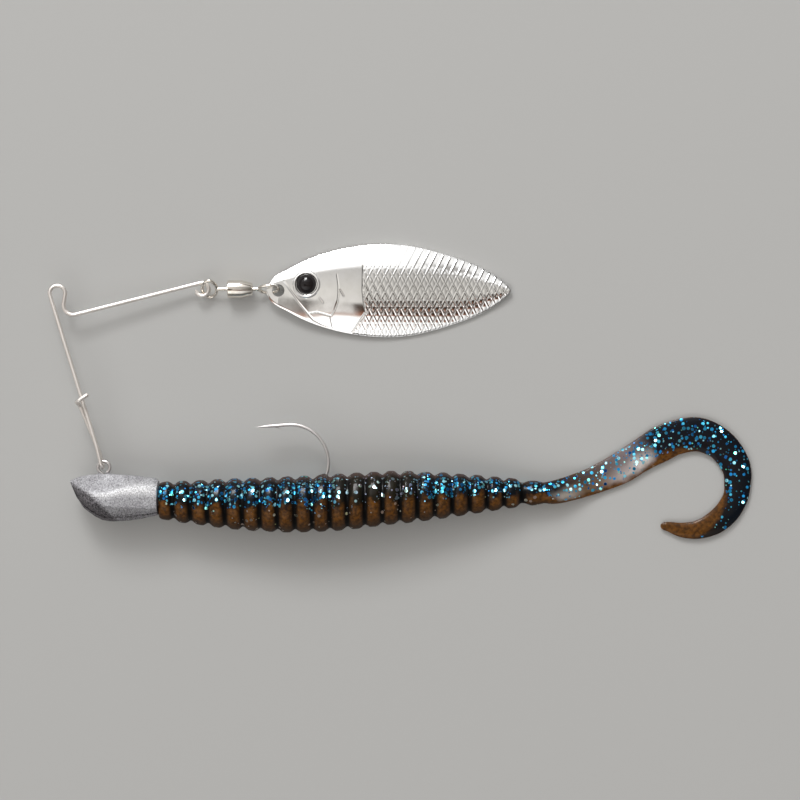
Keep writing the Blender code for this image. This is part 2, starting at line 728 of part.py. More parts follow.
    # Tail: flat ovals along the curl, round at the root and lying on the table
    root = worm_axis(1.0) + Vector((SEAT_GAP, 0.0, 0.0))
    curl = catmull(TAIL_CURL, 2)
    spine = [Vector((x * TAIL_REACH, y * TAIL_REACH, 0.0)) for x, y, _ in curl]
    rings = []
    run = 0.0
    for n, (point, (_, _, wide)) in enumerate(zip(spine, curl)):
        if n:
            run += (point - spine[n - 1]).length
        heading = (spine[min(n + 1, len(spine) - 1)] - spine[max(n - 1, 0)]).normalized()
        side = Vector((-heading.y, heading.x, 0.0))
        flat = smooth(run / TAIL_BLEND)
        thick = WORM_ROOT_RADIUS * (1 - flat) + TAIL_THICKNESS / 2 * flat
        thick *= 0.55 + 0.45 * min(wide / 0.5, 1.0)
        centre = Vector((root.x + point.x, root.y + point.y, thick))
        rings.append([
            centre + side * (TAIL_WIDTH / 2 * wide * math.cos(turn)) + Vector((0.0, 0.0, thick * math.sin(turn)))
            for turn in (math.tau * (m + 0.5) / 10 for m in range(10))
        ])
    worm_tail = add_object("worm_tail", loft_mesh("worm_tail", rings), parts, rubber)

    # Bodies and the axes that they turn on
    jig = pivot("jig", Vector((0.0, SHANK_Y, JIG_Z)), lure, parts)
    wire_pivot = pivot("wire_pivot", Vector((0.0, 0.0, JIG_Z)), lure, parts)
    snap_pivot = pivot("snap_pivot", snap_hinge, wire_pivot, parts)
    front_pivot = pivot("front_pivot", Vector((loop_centre.x, axis_y, SWIVEL_Z)), wire_pivot, parts)
    barrel_pivot = pivot("barrel_pivot", Vector((barrel_start, axis_y, SWIVEL_Z)), front_pivot, parts)
    rear_pivot = pivot("rear_pivot", Vector((barrel_end, axis_y, SWIVEL_Z)), barrel_pivot, parts)
    blade_pivot = pivot("blade_pivot", hole, rear_pivot, parts)
    tail_pivot = pivot("tail_pivot", Vector((root.x, root.y, 2 * WORM_ROOT_RADIUS)), lure, parts)

    for tool in (drill, eye_ring, pocket):
        for group in list(tool.users_collection):
            group.objects.unlink(tool)
        cutters.objects.link(tool)
        applied(tool)

    attach(jig, jig_head, jig_hook, worm_body, channel, barb, pocket)
    attach(wire_pivot, wire_arm)
    attach(snap_pivot, snap_arm)
    attach(front_pivot, front_eye, front_stem)
    attach(barrel_pivot, barrel)
    attach(rear_pivot, rear_eye, rear_stem)
    attach(blade_pivot, blade, blade_eye, drill, eye_ring)
    attach(tail_pivot, worm_tail)

    # Centre the lure's box over the origin, with the table at zero
    bpy.context.view_layer.update()
    graph = bpy.context.evaluated_depsgraph_get()
    corners = []
    for obj in parts.objects:
        if obj.type == "MESH":
            shape = obj.evaluated_get(graph)
            corners += [shape.matrix_world @ vert.co for vert in shape.data.vertices]
    low = Vector([min(c[n] for c in corners) for n in range(3)])
    high = Vector([max(c[n] for c in corners) for n in range(3)])
    lure.location = -Vector(((low.x + high.x) / 2, (low.y + high.y) / 2, low.z))
    bpy.context.view_layer.update()
    for empty in (jig, wire_pivot, snap_pivot, front_pivot, barrel_pivot, rear_pivot, blade_pivot, tail_pivot):
        place = empty.matrix_world.translation / MM
        print(empty.name, [round(value, 4) for value in place])
    print("size", [round((high[n] - low[n]) / MM, 3) for n in range(3)])


main()
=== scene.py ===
# %% [markdown]
# # A clip-on jig spinner on a pale table
# The lure lies on its side: a bent spring wire with a willow-leaf blade on a swivel, clipped to the eye
# of a lead jig, and a ringed curly-tail worm on the hook. The packed model gives the frame: every joint
# centre below comes from it, so each new piece lands where the solid is.

# %% Load the frame
import json
import math

import bmesh
import bpy
from mathutils import Matrix, Vector, noise


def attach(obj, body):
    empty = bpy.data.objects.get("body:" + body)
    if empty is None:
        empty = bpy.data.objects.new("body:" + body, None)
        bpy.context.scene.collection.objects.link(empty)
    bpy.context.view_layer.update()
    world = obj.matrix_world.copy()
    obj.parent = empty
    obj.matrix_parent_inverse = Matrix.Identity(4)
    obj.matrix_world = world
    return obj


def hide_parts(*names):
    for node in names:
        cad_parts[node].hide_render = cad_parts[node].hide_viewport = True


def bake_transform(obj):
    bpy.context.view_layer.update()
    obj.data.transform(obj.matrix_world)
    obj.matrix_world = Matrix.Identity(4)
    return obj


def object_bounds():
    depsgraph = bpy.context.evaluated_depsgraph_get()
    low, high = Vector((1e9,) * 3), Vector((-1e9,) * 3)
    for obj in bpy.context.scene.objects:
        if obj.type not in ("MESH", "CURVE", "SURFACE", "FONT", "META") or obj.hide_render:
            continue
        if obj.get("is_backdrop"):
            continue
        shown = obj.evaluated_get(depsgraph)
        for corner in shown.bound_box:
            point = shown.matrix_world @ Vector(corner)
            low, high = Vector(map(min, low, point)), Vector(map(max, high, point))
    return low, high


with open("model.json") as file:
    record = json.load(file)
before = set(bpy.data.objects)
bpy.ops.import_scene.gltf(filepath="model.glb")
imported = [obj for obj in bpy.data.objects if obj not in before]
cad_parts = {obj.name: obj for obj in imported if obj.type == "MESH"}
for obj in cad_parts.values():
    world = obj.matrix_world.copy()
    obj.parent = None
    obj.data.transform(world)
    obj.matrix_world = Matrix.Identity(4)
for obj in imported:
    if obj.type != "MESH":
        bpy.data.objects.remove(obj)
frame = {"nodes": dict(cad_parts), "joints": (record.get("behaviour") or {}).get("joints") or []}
cad_low, cad_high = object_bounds()
MM = 0.001
place = {joint["name"]: Vector(joint["pos_m"]) for joint in frame["joints"]}
print("joints:", ", ".join(place))

# %% [markdown]
# Operators act on whatever is selected, and the loaded solids start out selected. These small helpers
# pick one object at a time, apply a modifier at once, and hand a finished piece to its body.

# %% Helpers for picking, applying and handing over


def deselect():
    if bpy.context.object and bpy.context.object.mode != "OBJECT":
        bpy.ops.object.mode_set(mode="OBJECT")
    bpy.ops.object.select_all(action="DESELECT")


def pick(obj):
    deselect()
    obj.select_set(True)
    bpy.context.view_layer.objects.active = obj


def edit(obj):
    """Enter edit mode on one object with everything selected."""
    pick(obj)
    bpy.ops.object.mode_set(mode="EDIT")
    bpy.ops.mesh.select_all(action="SELECT")


def leave_edit():
    bpy.ops.object.mode_set(mode="OBJECT")


def turn_out():
    """Point every face outwards, then leave edit mode."""
    bpy.ops.mesh.select_all(action="SELECT")
    bpy.ops.mesh.normals_make_consistent(inside=False)
    leave_edit()


def select_faces(obj, choose):
    """In edit mode, select only the faces that a function chooses from all of them."""
    bpy.ops.mesh.select_all(action="DESELECT")
    bpy.ops.mesh.select_mode(type="FACE")
    shape = bmesh.from_edit_mesh(obj.data)
    for face in choose(shape.faces):
        face.select_set(True)
    bmesh.update_edit_mesh(obj.data)


def apply_step(obj, kind, **settings):
    """Add one modifier, set it and apply it."""
    pick(obj)
    step = obj.modifiers.new(kind.title(), kind)
    for name, value in settings.items():
        setattr(step, name, value)
    bpy.ops.object.modifier_apply(modifier=step.name)


def combine(obj, tool, operation):
    """Boolean one object with another, then delete the tool."""
    apply_step(obj, "BOOLEAN", operation=operation, object=tool, solver="EXACT")
    pick(tool)
    bpy.ops.object.delete()


def added(name):
    """Name the primitive just added, and put its place into its mesh, as the solids have theirs."""
    made = bpy.context.object
    made.name = name
    pick(made)
    bpy.ops.object.transform_apply(location=True, rotation=True, scale=True)
    return made


def smooth_faces(obj, angle):
    pick(obj)
    bpy.ops.object.shade_smooth_by_angle(angle=math.radians(angle))


def hand_over(piece, body, slot, finish, *nodes):
    piece.data.materials.clear()
    piece.data.materials.append(finish)
    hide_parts(*nodes)
    if body:
        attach(piece, body)
    print(piece.name, len(piece.data.polygons), "faces")


deselect()
print("deselected", len(frame["nodes"]), "solids")

# %% [markdown]
# The photograph looks straight down with a long lens. A hundred-millimetre lens keeps the wires from
# leaning, and its distance follows from the width that the frame spans at the lure.

# %% Camera over the table
FRAME_SPAN = 160 * MM
LENS = 100
SENSOR = 36
NEAREST = 10 * MM
VIEW_CENTRE = Vector((-0.093, -1.847, 3.0)) * MM

rise = Vector((0.0, 0.0, FRAME_SPAN * LENS / SENSOR))
bpy.ops.object.camera_add(location=VIEW_CENTRE + rise, rotation=(0.0, 0.0, 0.0))
camera = bpy.context.object
camera.data.lens = LENS
camera.data.sensor_width = SENSOR
camera.data.clip_start = NEAREST
bpy.context.scene.camera = camera
bpy.context.scene.view_settings.view_transform = "Standard"
print("camera", round(camera.location.z, 3), "m above the table")

# %% [markdown]
# The studio and every finish are trees of small nodes. A thin wrapper round one tree lets a line of code
# read like the sum that its nodes do: each call adds one node, feeds it sockets or plain values, and
# gives back the socket to go on from.

# %% Node tools


class Nodes:
    """One node tree, with a call for each kind of node that is used here."""

    def __init__(self, tree):
        self.tree = tree

    def add(self, kind, **settings):
        made = self.tree.nodes.new("ShaderNode" + kind)
        for name, value in settings.items():
            setattr(made, name, value)
        return made

    def feed(self, socket, value):
        """Link a socket, or set it to a plain number, vector or colour."""
        if isinstance(value, bpy.types.NodeSocket):
            self.tree.links.new(value, socket)
        elif socket.type == "RGBA":
            socket.default_value = (*value, 1.0)
        else:
            socket.default_value = value

    def fill(self, node, values):
        for name, value in values.items():
            self.feed(node.inputs[name], value)

    def remap(self, value, low, high, to_low=0.0, to_high=1.0, style="LINEAR"):
        made = self.add("MapRange", interpolation_type=style)
        ends = {"From Min": low, "From Max": high, "To Min": to_low, "To Max": to_high}
        self.fill(made, {"Value": value, **ends})
        return made.outputs["Result"]

    def soft(self, value, low, high, to_low=0.0, to_high=1.0):
        """A remap that eases in and out."""
        return self.remap(value, low, high, to_low, to_high, "SMOOTHSTEP")

    def mix(self, factor, first, second):
        """Mix two colours. These are the colour sockets of a node that can mix other kinds too."""
        made = self.add("Mix", data_type="RGBA")
        for number, value in ((0, factor), (6, first), (7, second)):
            self.feed(made.inputs[number], value)
        return made.outputs[2]

    def math(self, operation, *values):
        made = self.add("Math", operation=operation)
        for socket, value in zip(made.inputs, values):
            self.feed(socket, value)
        return made.outputs[0]

    def times(self, product, *factors):
        for factor in factors:
            product = self.math("MULTIPLY", product, factor)
        return product

    def vector(self, operation, *values):
        made = self.add("VectorMath", operation=operation)
        sockets = (made.inputs[0], made.inputs["Scale" if operation == "SCALE" else 1])
        for socket, value in zip(sockets, values):
            self.feed(socket, value)
        return made.outputs["Vector"]

    def ramp(self, value, stops):
        """A colour ramp from (position, colour) stops, where a plain number is a grey."""
        made = self.add("ValToRGB")
        elements = made.color_ramp.elements
        while len(elements) < len(stops):
            elements.new(1.0)
        for element, (position, colour) in zip(elements, stops):
            element.position = position
            parts = colour if isinstance(colour, tuple) else (colour, colour, colour)
            element.color = (*parts, 1.0)
        self.feed(made.inputs["Fac"], value)
        return made.outputs["Color"]

    def noise(self, vector, scale, detail=3.0):
        made = self.add("TexNoise")
        self.fill(made, {"Vector": vector, "Scale": scale, "Detail": detail})
        return made.outputs["Fac"]

    def cells(self, vector, scale):
        made = self.add("TexVoronoi")
        self.fill(made, {"Vector": vector, "Scale": scale})
        return made.outputs

    def split(self, kind, value):
        """The three parts of a vector or a colour."""
        made = self.add("Separate" + kind)
        self.feed(made.inputs[0], value)
        return made.outputs

    def bump(self, height, strength, distance):
        made = self.add("Bump")
        self.fill(made, {"Height": height, "Strength": strength, "Distance": distance})
        return made.outputs["Normal"]

    def coords(self, kind="Object"):
        return self.add("TexCoord").outputs[kind]

    def attribute(self, name, kind="Fac"):
        return self.add("Attribute", attribute_name=name).outputs[kind]


def new_finish(name, settings):
    """A material with the plain values of its shader set, and the tools to add the rest."""
    finish = bpy.data.materials.new(name)
    finish.use_nodes = True
    nodes = Nodes(finish.node_tree)
    shader = finish.node_tree.nodes["Principled BSDF"]
    nodes.fill(shader, settings)
    return finish, nodes, shader


print("node tools:", ", ".join(name for name in vars(Nodes) if not name.startswith("_")))

# %% [markdown]
# Chrome is only as good as what it mirrors. The studio is a world of soft bands: a grey ceiling with a
# long softbox on each side, brighter to the left and fading to the right. Dark strips with a red hem hang
# beside the near softbox and draw the crisp line along the blade's lower half. A low dark wall goes all
# round, and under it the world has the pale tone of the table, so the horizon stays plain.

# %% Studio world
WORLD_LEVEL = 1.6
# Places in the world are parts of a direction, from -1 to 1: X along the lure, Y across it and Z up
CEILING_BANDS = [
    (-1.00, (0.30, 0.30, 0.30)), (-0.84, (0.80, 0.80, 0.80)), (-0.41, (0.86, 0.86, 0.85)),
    (-0.37, (0.52, 0.50, 0.48)), (0.05, (0.46, 0.445, 0.42)), (0.42, (0.36, 0.35, 0.34)),
    (0.47, (0.95, 0.95, 0.95)), (0.88, (0.92, 0.92, 0.92)), (1.00, (0.30, 0.30, 0.30)),
]
LEAN_SPAN = (-0.3, 0.55)
LEAN = (1.25, 0.26)
HORIZON = (0.46, 0.46, 0.455)
WALL = (0.10, 0.095, 0.09)
WALL_SPAN = (0.14, 0.21)
CEILING_SPAN = (0.40, 0.54)
STRIP_COLOURS = [(0.0, (0.34, 0.15, 0.09)), (0.45, (0.05, 0.028, 0.02)), (1.0, (0.035, 0.03, 0.025))]
STRIPS_FROM = -0.40
STRIPS_TO = -0.155
RISE_WIDTH = 0.03
FALL_WIDTH = 0.05
# How much of the light each place along X loses to a strip
STRIPS_ALONG = [
    (-1.0, 0.0), (-0.50, 0.0), (-0.42, 1.0), (-0.135, 1.0), (-0.128, 0.0), (-0.1205, 0.0), (-0.1165, 0.9),
    (-0.090, 0.9), (-0.084, 0.0), (-0.055, 0.0), (-0.03, 1.0), (1.0, 1.0),
]
# The left strips reach further across
LONG_SPAN = (-0.17, -0.07)
LONG_BY = 0.23
HEM = 0.07
HEM_DARK = 0.6
HEM_FROM = -0.10


def whole(stops):
    """Places from -1 to 1 as the places from 0 to 1 of a colour ramp."""
    return [((spot + 1.0) / 2.0, value) for spot, value in stops]


def studio_world():
    world = bpy.data.worlds.new("studio")
    bpy.context.scene.world = world
    world.use_nodes = True
    world.node_tree.nodes.clear()
    nodes = Nodes(world.node_tree)
    along, across, height = nodes.split("XYZ", nodes.coords("Generated"))
    bands = nodes.ramp(nodes.remap(across, -1.0, 1.0), whole(CEILING_BANDS))

    hung = nodes.ramp(nodes.remap(along, -1.0, 1.0), whole(STRIPS_ALONG))
    hem = nodes.times(
        nodes.remap(across, STRIPS_FROM + HEM / 2, STRIPS_FROM + HEM, HEM_DARK, 0.0),
        nodes.remap(along, HEM_FROM, HEM_FROM + RISE_WIDTH))
    rise = nodes.remap(across, STRIPS_FROM, STRIPS_FROM + RISE_WIDTH)
    reach = nodes.math("SUBTRACT", across, nodes.remap(along, *LONG_SPAN, LONG_BY, 0.0))
    fall = nodes.remap(reach, STRIPS_TO - FALL_WIDTH, STRIPS_TO, 1.0, 0.0)
    strips = nodes.times(rise, fall, nodes.math("MAXIMUM", hung, hem))
    cloth = nodes.ramp(nodes.remap(across, STRIPS_FROM, STRIPS_TO), STRIP_COLOURS)

    lean = nodes.remap(along, *LEAN_SPAN, *LEAN)
    ceiling = nodes.vector("SCALE", nodes.mix(strips, bands, cloth), lean)
    wall = nodes.mix(nodes.soft(height, *WALL_SPAN), HORIZON, WALL)
    room = nodes.mix(nodes.soft(height, *CEILING_SPAN), wall, ceiling)
    light = nodes.add("Background")
    nodes.fill(light, {"Color": room, "Strength": WORLD_LEVEL})
    nodes.feed(nodes.add("OutputWorld").inputs["Surface"], light.outputs[0])
    return world


print("world:", studio_world().name)

# %% [markdown]
# One lamp beyond the far softbox gives a soft shadow on the table. A second, larger and lower, is seen
# only by glossy rays: it puts the wet window on each ring of the worm without washing out the dark
# plastic. The table is a wide pale sheet just under the lure.

# %% Lamp and table
LAMP_SIZE = 0.30
LAMP_PLACE = Vector((-0.22, 0.72, 0.62))
LAMP_POWER = 3.0
GLINT_SIZE = 0.34
GLINT_PLACE = Vector((-0.12, 0.86, 0.46))
GLINT_POWER = 11.0
TABLE_SIZE = 8.0
TABLE_DROP = 0.15 * MM
TABLE_PAINT = {"Base Color": (0.53, 0.53, 0.52), "Roughness": 0.85, "Specular IOR Level": 0.1}


def soft_lamp(spot, size, power):
    """A square lamp that looks at the origin."""
    deselect()
    bpy.ops.object.light_add(type="AREA", location=spot)
    made = bpy.context.object
    made.data.size = size
    made.data.energy = power
    made.rotation_euler = spot.to_track_quat("Z", "Y").to_euler()
    return made


soft_lamp(LAMP_PLACE, LAMP_SIZE, LAMP_POWER)
glint = soft_lamp(GLINT_PLACE, GLINT_SIZE, GLINT_POWER)
glint.visible_diffuse = False
deselect()
bpy.ops.mesh.primitive_plane_add(size=TABLE_SIZE, location=(0.0, 0.0, -TABLE_DROP))
table = added("table")
paint, _, _ = new_finish("table_paint", TABLE_PAINT)
table.data.materials.append(paint)
table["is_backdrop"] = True
print("lamps", LAMP_POWER, GLINT_POWER, "W and table", TABLE_SIZE, "m wide")

# %% [markdown]
# ## Finishes
# Each metal starts from the same recipe: a full-metal shader with two tints, a roughness that a fine
# noise breaks up, and a little bump. The real pieces differ by degree: the spring wire and the hook are
# satin, the plated swivel is smooth and warm, and the stamped blade is almost a mirror.

# %% Plain metal finishes
GRAIN_SPAN = (0.3, 0.7)
METAL_BUMP = 0.02 * MM


def metal_finish(name, bright, dull, rough, grain, bump):
    """Metal whose tint and roughness follow one noise, of so many grains a metre."""
    finish, nodes, shader = new_finish(name, {"Metallic": 1.0})
    grains = nodes.noise(nodes.coords(), grain)
    nodes.fill(shader, {
        "Base Color": nodes.mix(nodes.remap(grains, *GRAIN_SPAN), bright, dull),
        "Roughness": nodes.remap(grains, *GRAIN_SPAN, *rough),
        "Normal": nodes.bump(grains, bump, METAL_BUMP),
    })
    return finish


wire_finish = metal_finish(
    "drawn_wire", (0.83, 0.79, 0.75), (0.71, 0.66, 0.62), rough=(0.38, 0.50), grain=320.0, bump=0.05)
hook_finish = metal_finish(
    "hook_wire_steel", (0.63, 0.61, 0.60), (0.50, 0.47, 0.46), rough=(0.36, 0.50), grain=500.0, bump=0.08)
nickel_finish = metal_finish(
    "warm_nickel", (0.88, 0.84, 0.78), (0.74, 0.68, 0.60), rough=(0.1, 0.2), grain=700.0, bump=0.12)
chrome_finish = metal_finish(
    "blade_chrome", (0.95, 0.945, 0.935), (0.90, 0.89, 0.87), rough=(0.05, 0.1), grain=500.0, bump=0.05)
print("metals: wire, hook, nickel, chrome")

# %% [markdown]
# Bare cast lead is dull and sandy. A coarse noise gives the clouded grey of the skin, a fine one the
# sand, and a Voronoi pattern small round pits. The lead is darker along the keel and under the nose, with
# more sand and pits there, and a painted highlight along the crease comes from an attribute of the head.

# %% Cast lead
LEAD_TONES = [(0.43, 0.43, 0.45), (0.33, 0.325, 0.345)]
# Painted highlight along the crease of each cheek
LEAD_CREASE_HIGHLIGHT = (0.86, 0.86, 0.88)
# Darker colour along the keel and under the nose
LEAD_DARKER = (0.075, 0.068, 0.074)
LEAD_PIT = (0.03, 0.026, 0.03)
LEAD_BUMP = 0.08 * MM
BUMP_STRENGTH = 0.6
LEAD_ROUGH = (0.55, 0.72)
# Grains a metre
CLOUD_SCALE = 420.0
SAND_SCALE = 3400.0
PIT_SCALE = 1500.0
CLOUD_SPAN = (0.35, 0.7)
PIT_SPAN = (0.10, 0.26)
# How strongly the sand and the pits show, on the plain lead and on the darker part
SAND_TONE = (2.3, 5.0)
PIT_TONE = (0.25, 0.95)
LEAST_TONE = 0.15
PIT_DEPTH = 0.8
KEEL_DARKER = 0.62
NOSE_DARKER = 0.9
# Where the darker part fades out: across the keel, and behind and above the underside of the nose, which
# is bounded by two slanted lines. Each is a way across plus a share of the way along.
KEEL_FADE = (-25.6 * MM, -22.6 * MM)
BEHIND_FADE = (-82.6 * MM, -80.6 * MM)
ABOVE_FADE = (-48.0 * MM, -46.5 * MM)
ABOVE_SLANT = 0.44


def lead_finish():
    finish, nodes, shader = new_finish("cast_lead", {"Metallic": 0.15, "Specular IOR Level": 0.25})
    at = nodes.coords()
    cloud = nodes.noise(at, CLOUD_SCALE, detail=4.0)
    sand = nodes.noise(at, SAND_SCALE)
    pits = nodes.cells(at, PIT_SCALE)["Distance"]

    along, across, _ = nodes.split("XYZ", at)
    # Darker along the keel and under the nose, with more sand and pits there
    keel = nodes.soft(across, *KEEL_FADE, KEEL_DARKER, 0.0)
    ahead = nodes.soft(nodes.math("ADD", along, across), *BEHIND_FADE, 1.0, 0.0)
    slant = nodes.math("MULTIPLY_ADD", along, ABOVE_SLANT, across)
    under = nodes.soft(slant, *ABOVE_FADE, NOSE_DARKER, 0.0)
    darker_part = nodes.math("MAXIMUM", keel, nodes.times(ahead, under))

    tone = nodes.mix(nodes.remap(cloud, *CLOUD_SPAN), *LEAD_TONES)
    # Painted highlight along the crease, read from the head's attribute
    tone = nodes.mix(nodes.attribute("worn"), tone, LEAD_CREASE_HIGHLIGHT)
    tone = nodes.mix(darker_part, tone, LEAD_DARKER)
    grain = nodes.math("SUBTRACT", sand, 0.5)
    grit = nodes.math("MULTIPLY_ADD", grain, nodes.remap(darker_part, 0.0, 0.6, *SAND_TONE), 1.0)
    tone = nodes.vector("SCALE", tone, nodes.math("MAXIMUM", grit, LEAST_TONE))
    dark = nodes.times(nodes.remap(pits, *PIT_SPAN, 1.0, 0.0), nodes.remap(darker_part, 0.0, 0.5, *PIT_TONE))
    height = nodes.math("ADD", sand, nodes.remap(pits, 0.0, 0.25, -PIT_DEPTH, 0.0))
    nodes.fill(shader, {
        "Base Color": nodes.mix(dark, tone, LEAD_PIT),
        "Roughness": nodes.remap(cloud, *GRAIN_SPAN, *LEAD_ROUGH),
        "Normal": nodes.bump(height, BUMP_STRENGTH, LEAD_BUMP),
    })
    return finish


cast_lead = lead_finish()
print("finish:", cast_lead.name)

# %% [markdown]
# The fish's eye is black and glossy, with a faint haze in tint and gloss, as on a lacquered bead.

# %% Black bead
BEAD_TONES = [(0.008, 0.007, 0.009), (0.022, 0.017, 0.016)]
BEAD_ROUGH = (0.03, 0.07)
HAZE_SCALE = 900.0


def bead_finish():
    finish, nodes, shader = new_finish("black_bead", {"Specular IOR Level": 0.28})
    haze = nodes.noise(nodes.coords(), HAZE_SCALE)
    nodes.fill(shader, {
        "Base Color": nodes.mix(haze, *BEAD_TONES),
        "Roughness": nodes.remap(haze, *GRAIN_SPAN, *BEAD_ROUGH),
    })
    return finish


black_bead = bead_finish()
print("finish:", black_bead.name)

# %% [markdown]
# ## The bent wire
# The arm, its clip and the hook are round wire, bent round pegs. So each is laid out as a path of
# straight runs with an arc at every bend.

# %% Wire paths
ARC_STEPS = 14


def direction(degrees):
    return Vector((math.cos(math.radians(degrees)), math.sin(math.radians(degrees)), 0.0))


def rounded(corners, radii):
    """Run straight between corners, with an arc of the given radius at each inner corner."""
    path = [corners[0]]
    for before, corner, after, radius in zip(corners, corners[1:], corners[2:], radii):
        into = (corner - before).normalized()
        out = (after - corner).normalized()
        turn = into.angle(out)
        centre = corner + (out - into).normalized() * (radius / math.cos(turn / 2))
        arm = corner - into * (radius * math.tan(turn / 2)) - centre
        axis = into.cross(out).normalized()
        for step in range(ARC_STEPS + 1):
            path.append(centre + Matrix.Rotation(turn * step / ARC_STEPS, 3, axis) @ arm)
    path.append(corners[-1])
    return path


def arc(centre, radius, start, sweep, steps):
    return [centre + direction(start + sweep * n / steps) * radius for n in range(steps + 1)]


def run_lengths(path):
    """How far along a path each of its points lies."""
    runs = [0.0]
    for before, after in zip(path, path[1:]):
        runs.append(runs[-1] + (after - before).length)
    return runs


def sloped(path, start_z, end_z):
    """Lay a plan path on an even slope from one height to another."""
    runs = run_lengths(path)
    heights = [start_z + (end_z - start_z) * run / runs[-1] for run in runs]
    return [Vector((spot.x, spot.y, height)) for spot, height in zip(path, heights)]


print("steps in an arc:", ARC_STEPS)

# %% [markdown]
# The path is swept as a curve with a round bevel, then made a mesh. Shares of the radius round off the
# cut ends and draw the hook's point.

# %% Swept wire
WIRE_R = 0.4 * MM
HOOK_R = 0.32 * MM
BEVEL_STEPS = 6
WELD_SHARE = 0.01
WIRE_ANGLE = 50
# The dome on a cut end: its turns in degrees, its length in radii and its least share of the radius
END_TURNS = (0, 25, 45, 62, 76, 86)
END_LENGTH = 0.6
END_LEAST = 0.06


def bend_wire(name, path, radius, shares=None, cyclic=False):
    """Sweep a round wire along a path and return it as a welded mesh."""
    deselect()
    bpy.ops.curve.primitive_nurbs_path_add()
    guide = bpy.context.object
    guide.name = name
    curve = guide.data
    curve.splines.clear()
    curve.bevel_depth = radius
    curve.bevel_resolution = BEVEL_STEPS
    curve.use_fill_caps = not cyclic
    run = curve.splines.new("POLY")
    run.points.add(len(path) - 1)
    run.use_cyclic_u = cyclic
    for n, point in enumerate(path):
        run.points[n].co = (*point, 1.0)
        run.points[n].radius = shares[n] if shares else 1.0
    bpy.ops.object.convert(target="MESH")
    piece = bpy.context.object
    edit(piece)
    bpy.ops.mesh.remove_doubles(threshold=radius * WELD_SHARE)
    turn_out()
    smooth_faces(piece, WIRE_ANGLE)
    return piece


def cut_wire(name, path):
    """A spring wire whose last end is domed where it was cut."""
    path = list(path)
    tip = path.pop()
    shares = [1.0] * len(path)
    back = (path[-1] - tip).normalized()
    for degrees in END_TURNS:
        angle = math.radians(degrees)
        path.append(tip + back * WIRE_R * END_LENGTH * (1.0 - math.sin(angle)))
        shares.append(max(math.cos(angle), END_LEAST))
    return bend_wire(name, path, WIRE_R, shares)


print("wire", WIRE_R / MM, "mm and hook", HOOK_R / MM, "mm in radius")

# %% [markdown]
# The arm starts as a hook through the jig eye, runs up the leg to the open line-tie bend, comes back
# down to the elbow and ends in a loop that holds the swivel.

# %% Wire arm
EYE = place["wire_swing"]
LOOP = place["swivel_swing"]
LINK_GAP = 0.25 * MM
STRAND_Z = WIRE_R + HOOK_R + LINK_GAP
FOOT_PLAY = 0.25 * MM
FOOT_LENGTH = 4.35 * MM
FOOT_ANGLE = 104.5
FOOT_TURN = math.radians(168)
FOOT_STEPS = 14
LEG_LENGTH = 33.6 * MM
LEG_ANGLE = 107.6
TIE_WIDTH = 3.9 * MM
STRAND_LENGTH = 6.55 * MM
STRAND_ANGLE = -99.4
ARM_LENGTH = 28.6 * MM
ARM_ANGLE = 14.4
KINK_RADIUS = 3.0 * MM
TIE_RADIUS = 1.5 * MM
ELBOW_RADIUS = 1.9 * MM
LOOP_R = 1.3 * MM
LOOP_SWEEP = 272
LOOP_STEPS = 40

up_leg = direction(FOOT_ANGLE)
foot = Vector((EYE.x - FOOT_PLAY, EYE.y, 0.0))
kink = foot + up_leg * FOOT_LENGTH
tie_left = kink + direction(LEG_ANGLE) * LEG_LENGTH
tie_right = tie_left + Vector((TIE_WIDTH, 0.0, 0.0))
elbow = tie_right + direction(STRAND_ANGLE) * STRAND_LENGTH
loop_start = elbow + direction(ARM_ANGLE) * ARM_LENGTH

wire_path = []
for n in range(FOOT_STEPS):
    angle = FOOT_TURN * (1 - n / FOOT_STEPS)
    reach = up_leg * STRAND_Z * (1.0 - math.sin(angle))
    wire_path.append(foot + reach + Vector((0.0, 0.0, EYE.z + STRAND_Z * math.cos(angle))))
run = rounded(
    [foot + up_leg * STRAND_Z, kink, tie_left, tie_right, elbow, loop_start],
    [KINK_RADIUS, TIE_RADIUS, TIE_RADIUS, ELBOW_RADIUS])
wire_path += sloped(run, EYE.z + STRAND_Z, LOOP.z)
wire_path += arc(LOOP, LOOP_R, ARM_ANGLE + 90, -LOOP_SWEEP, LOOP_STEPS)[1:]
bent_wire = cut_wire("bent_wire", wire_path)
hand_over(bent_wire, "wire", "wire_steel", wire_finish, "wire_arm")

# %% [markdown]
# The same wire comes back up from the eye as a springy strand and hooks over the leg. It has its own
# joint, because pressing it aside opens the clip.

# %% Spring clip
SEAT_GAP = 0.3 * MM
KNEE_WIRES = 4
CLIP_LENGTH = 16.4 * MM
CLIP_ANGLE = 112
TOP_SHARE = 0.62
TOP_RISE = WIRE_R * 0.8
LATCH_SIDE = 0.2 * MM
LATCH_REACH = 0.55 * MM
LATCH_LENGTH = 2.9 * MM
LATCH_ANGLE = 33

start = place["snap_open"] + up_leg * SEAT_GAP
knee = start + up_leg * WIRE_R * KNEE_WIRES
top = knee + direction(CLIP_ANGLE) * CLIP_LENGTH * TOP_SHARE
top.z = start.z + TOP_RISE
over = EYE.z + STRAND_Z + WIRE_R * 2 + LINK_GAP
wrap = top + direction(CLIP_ANGLE) * WIRE_R * 2 - Vector((LATCH_SIDE, 0.0, 0.0))
wrap.z = (top.z + over) / 2
crest = wrap + direction(LATCH_ANGLE) * LATCH_REACH
crest.z = over
tip = crest + direction(LATCH_ANGLE) * (LATCH_LENGTH - LATCH_REACH)
clip_path = rounded([start, knee, top, wrap, crest, tip], [WIRE_R * KNEE_WIRES, WIRE_R, WIRE_R, WIRE_R])
spring_clip = cut_wire("spring_clip", clip_path)
hand_over(spring_clip, "snap", "wire_steel", wire_finish, "snap_arm")

# %% [markdown]
# ## The hook
# One wire again: an open eye, a stem down into the lead, the long shank inside the worm, a round bend
# and a point that is drawn fine by giving each place of the path its share of the radius.

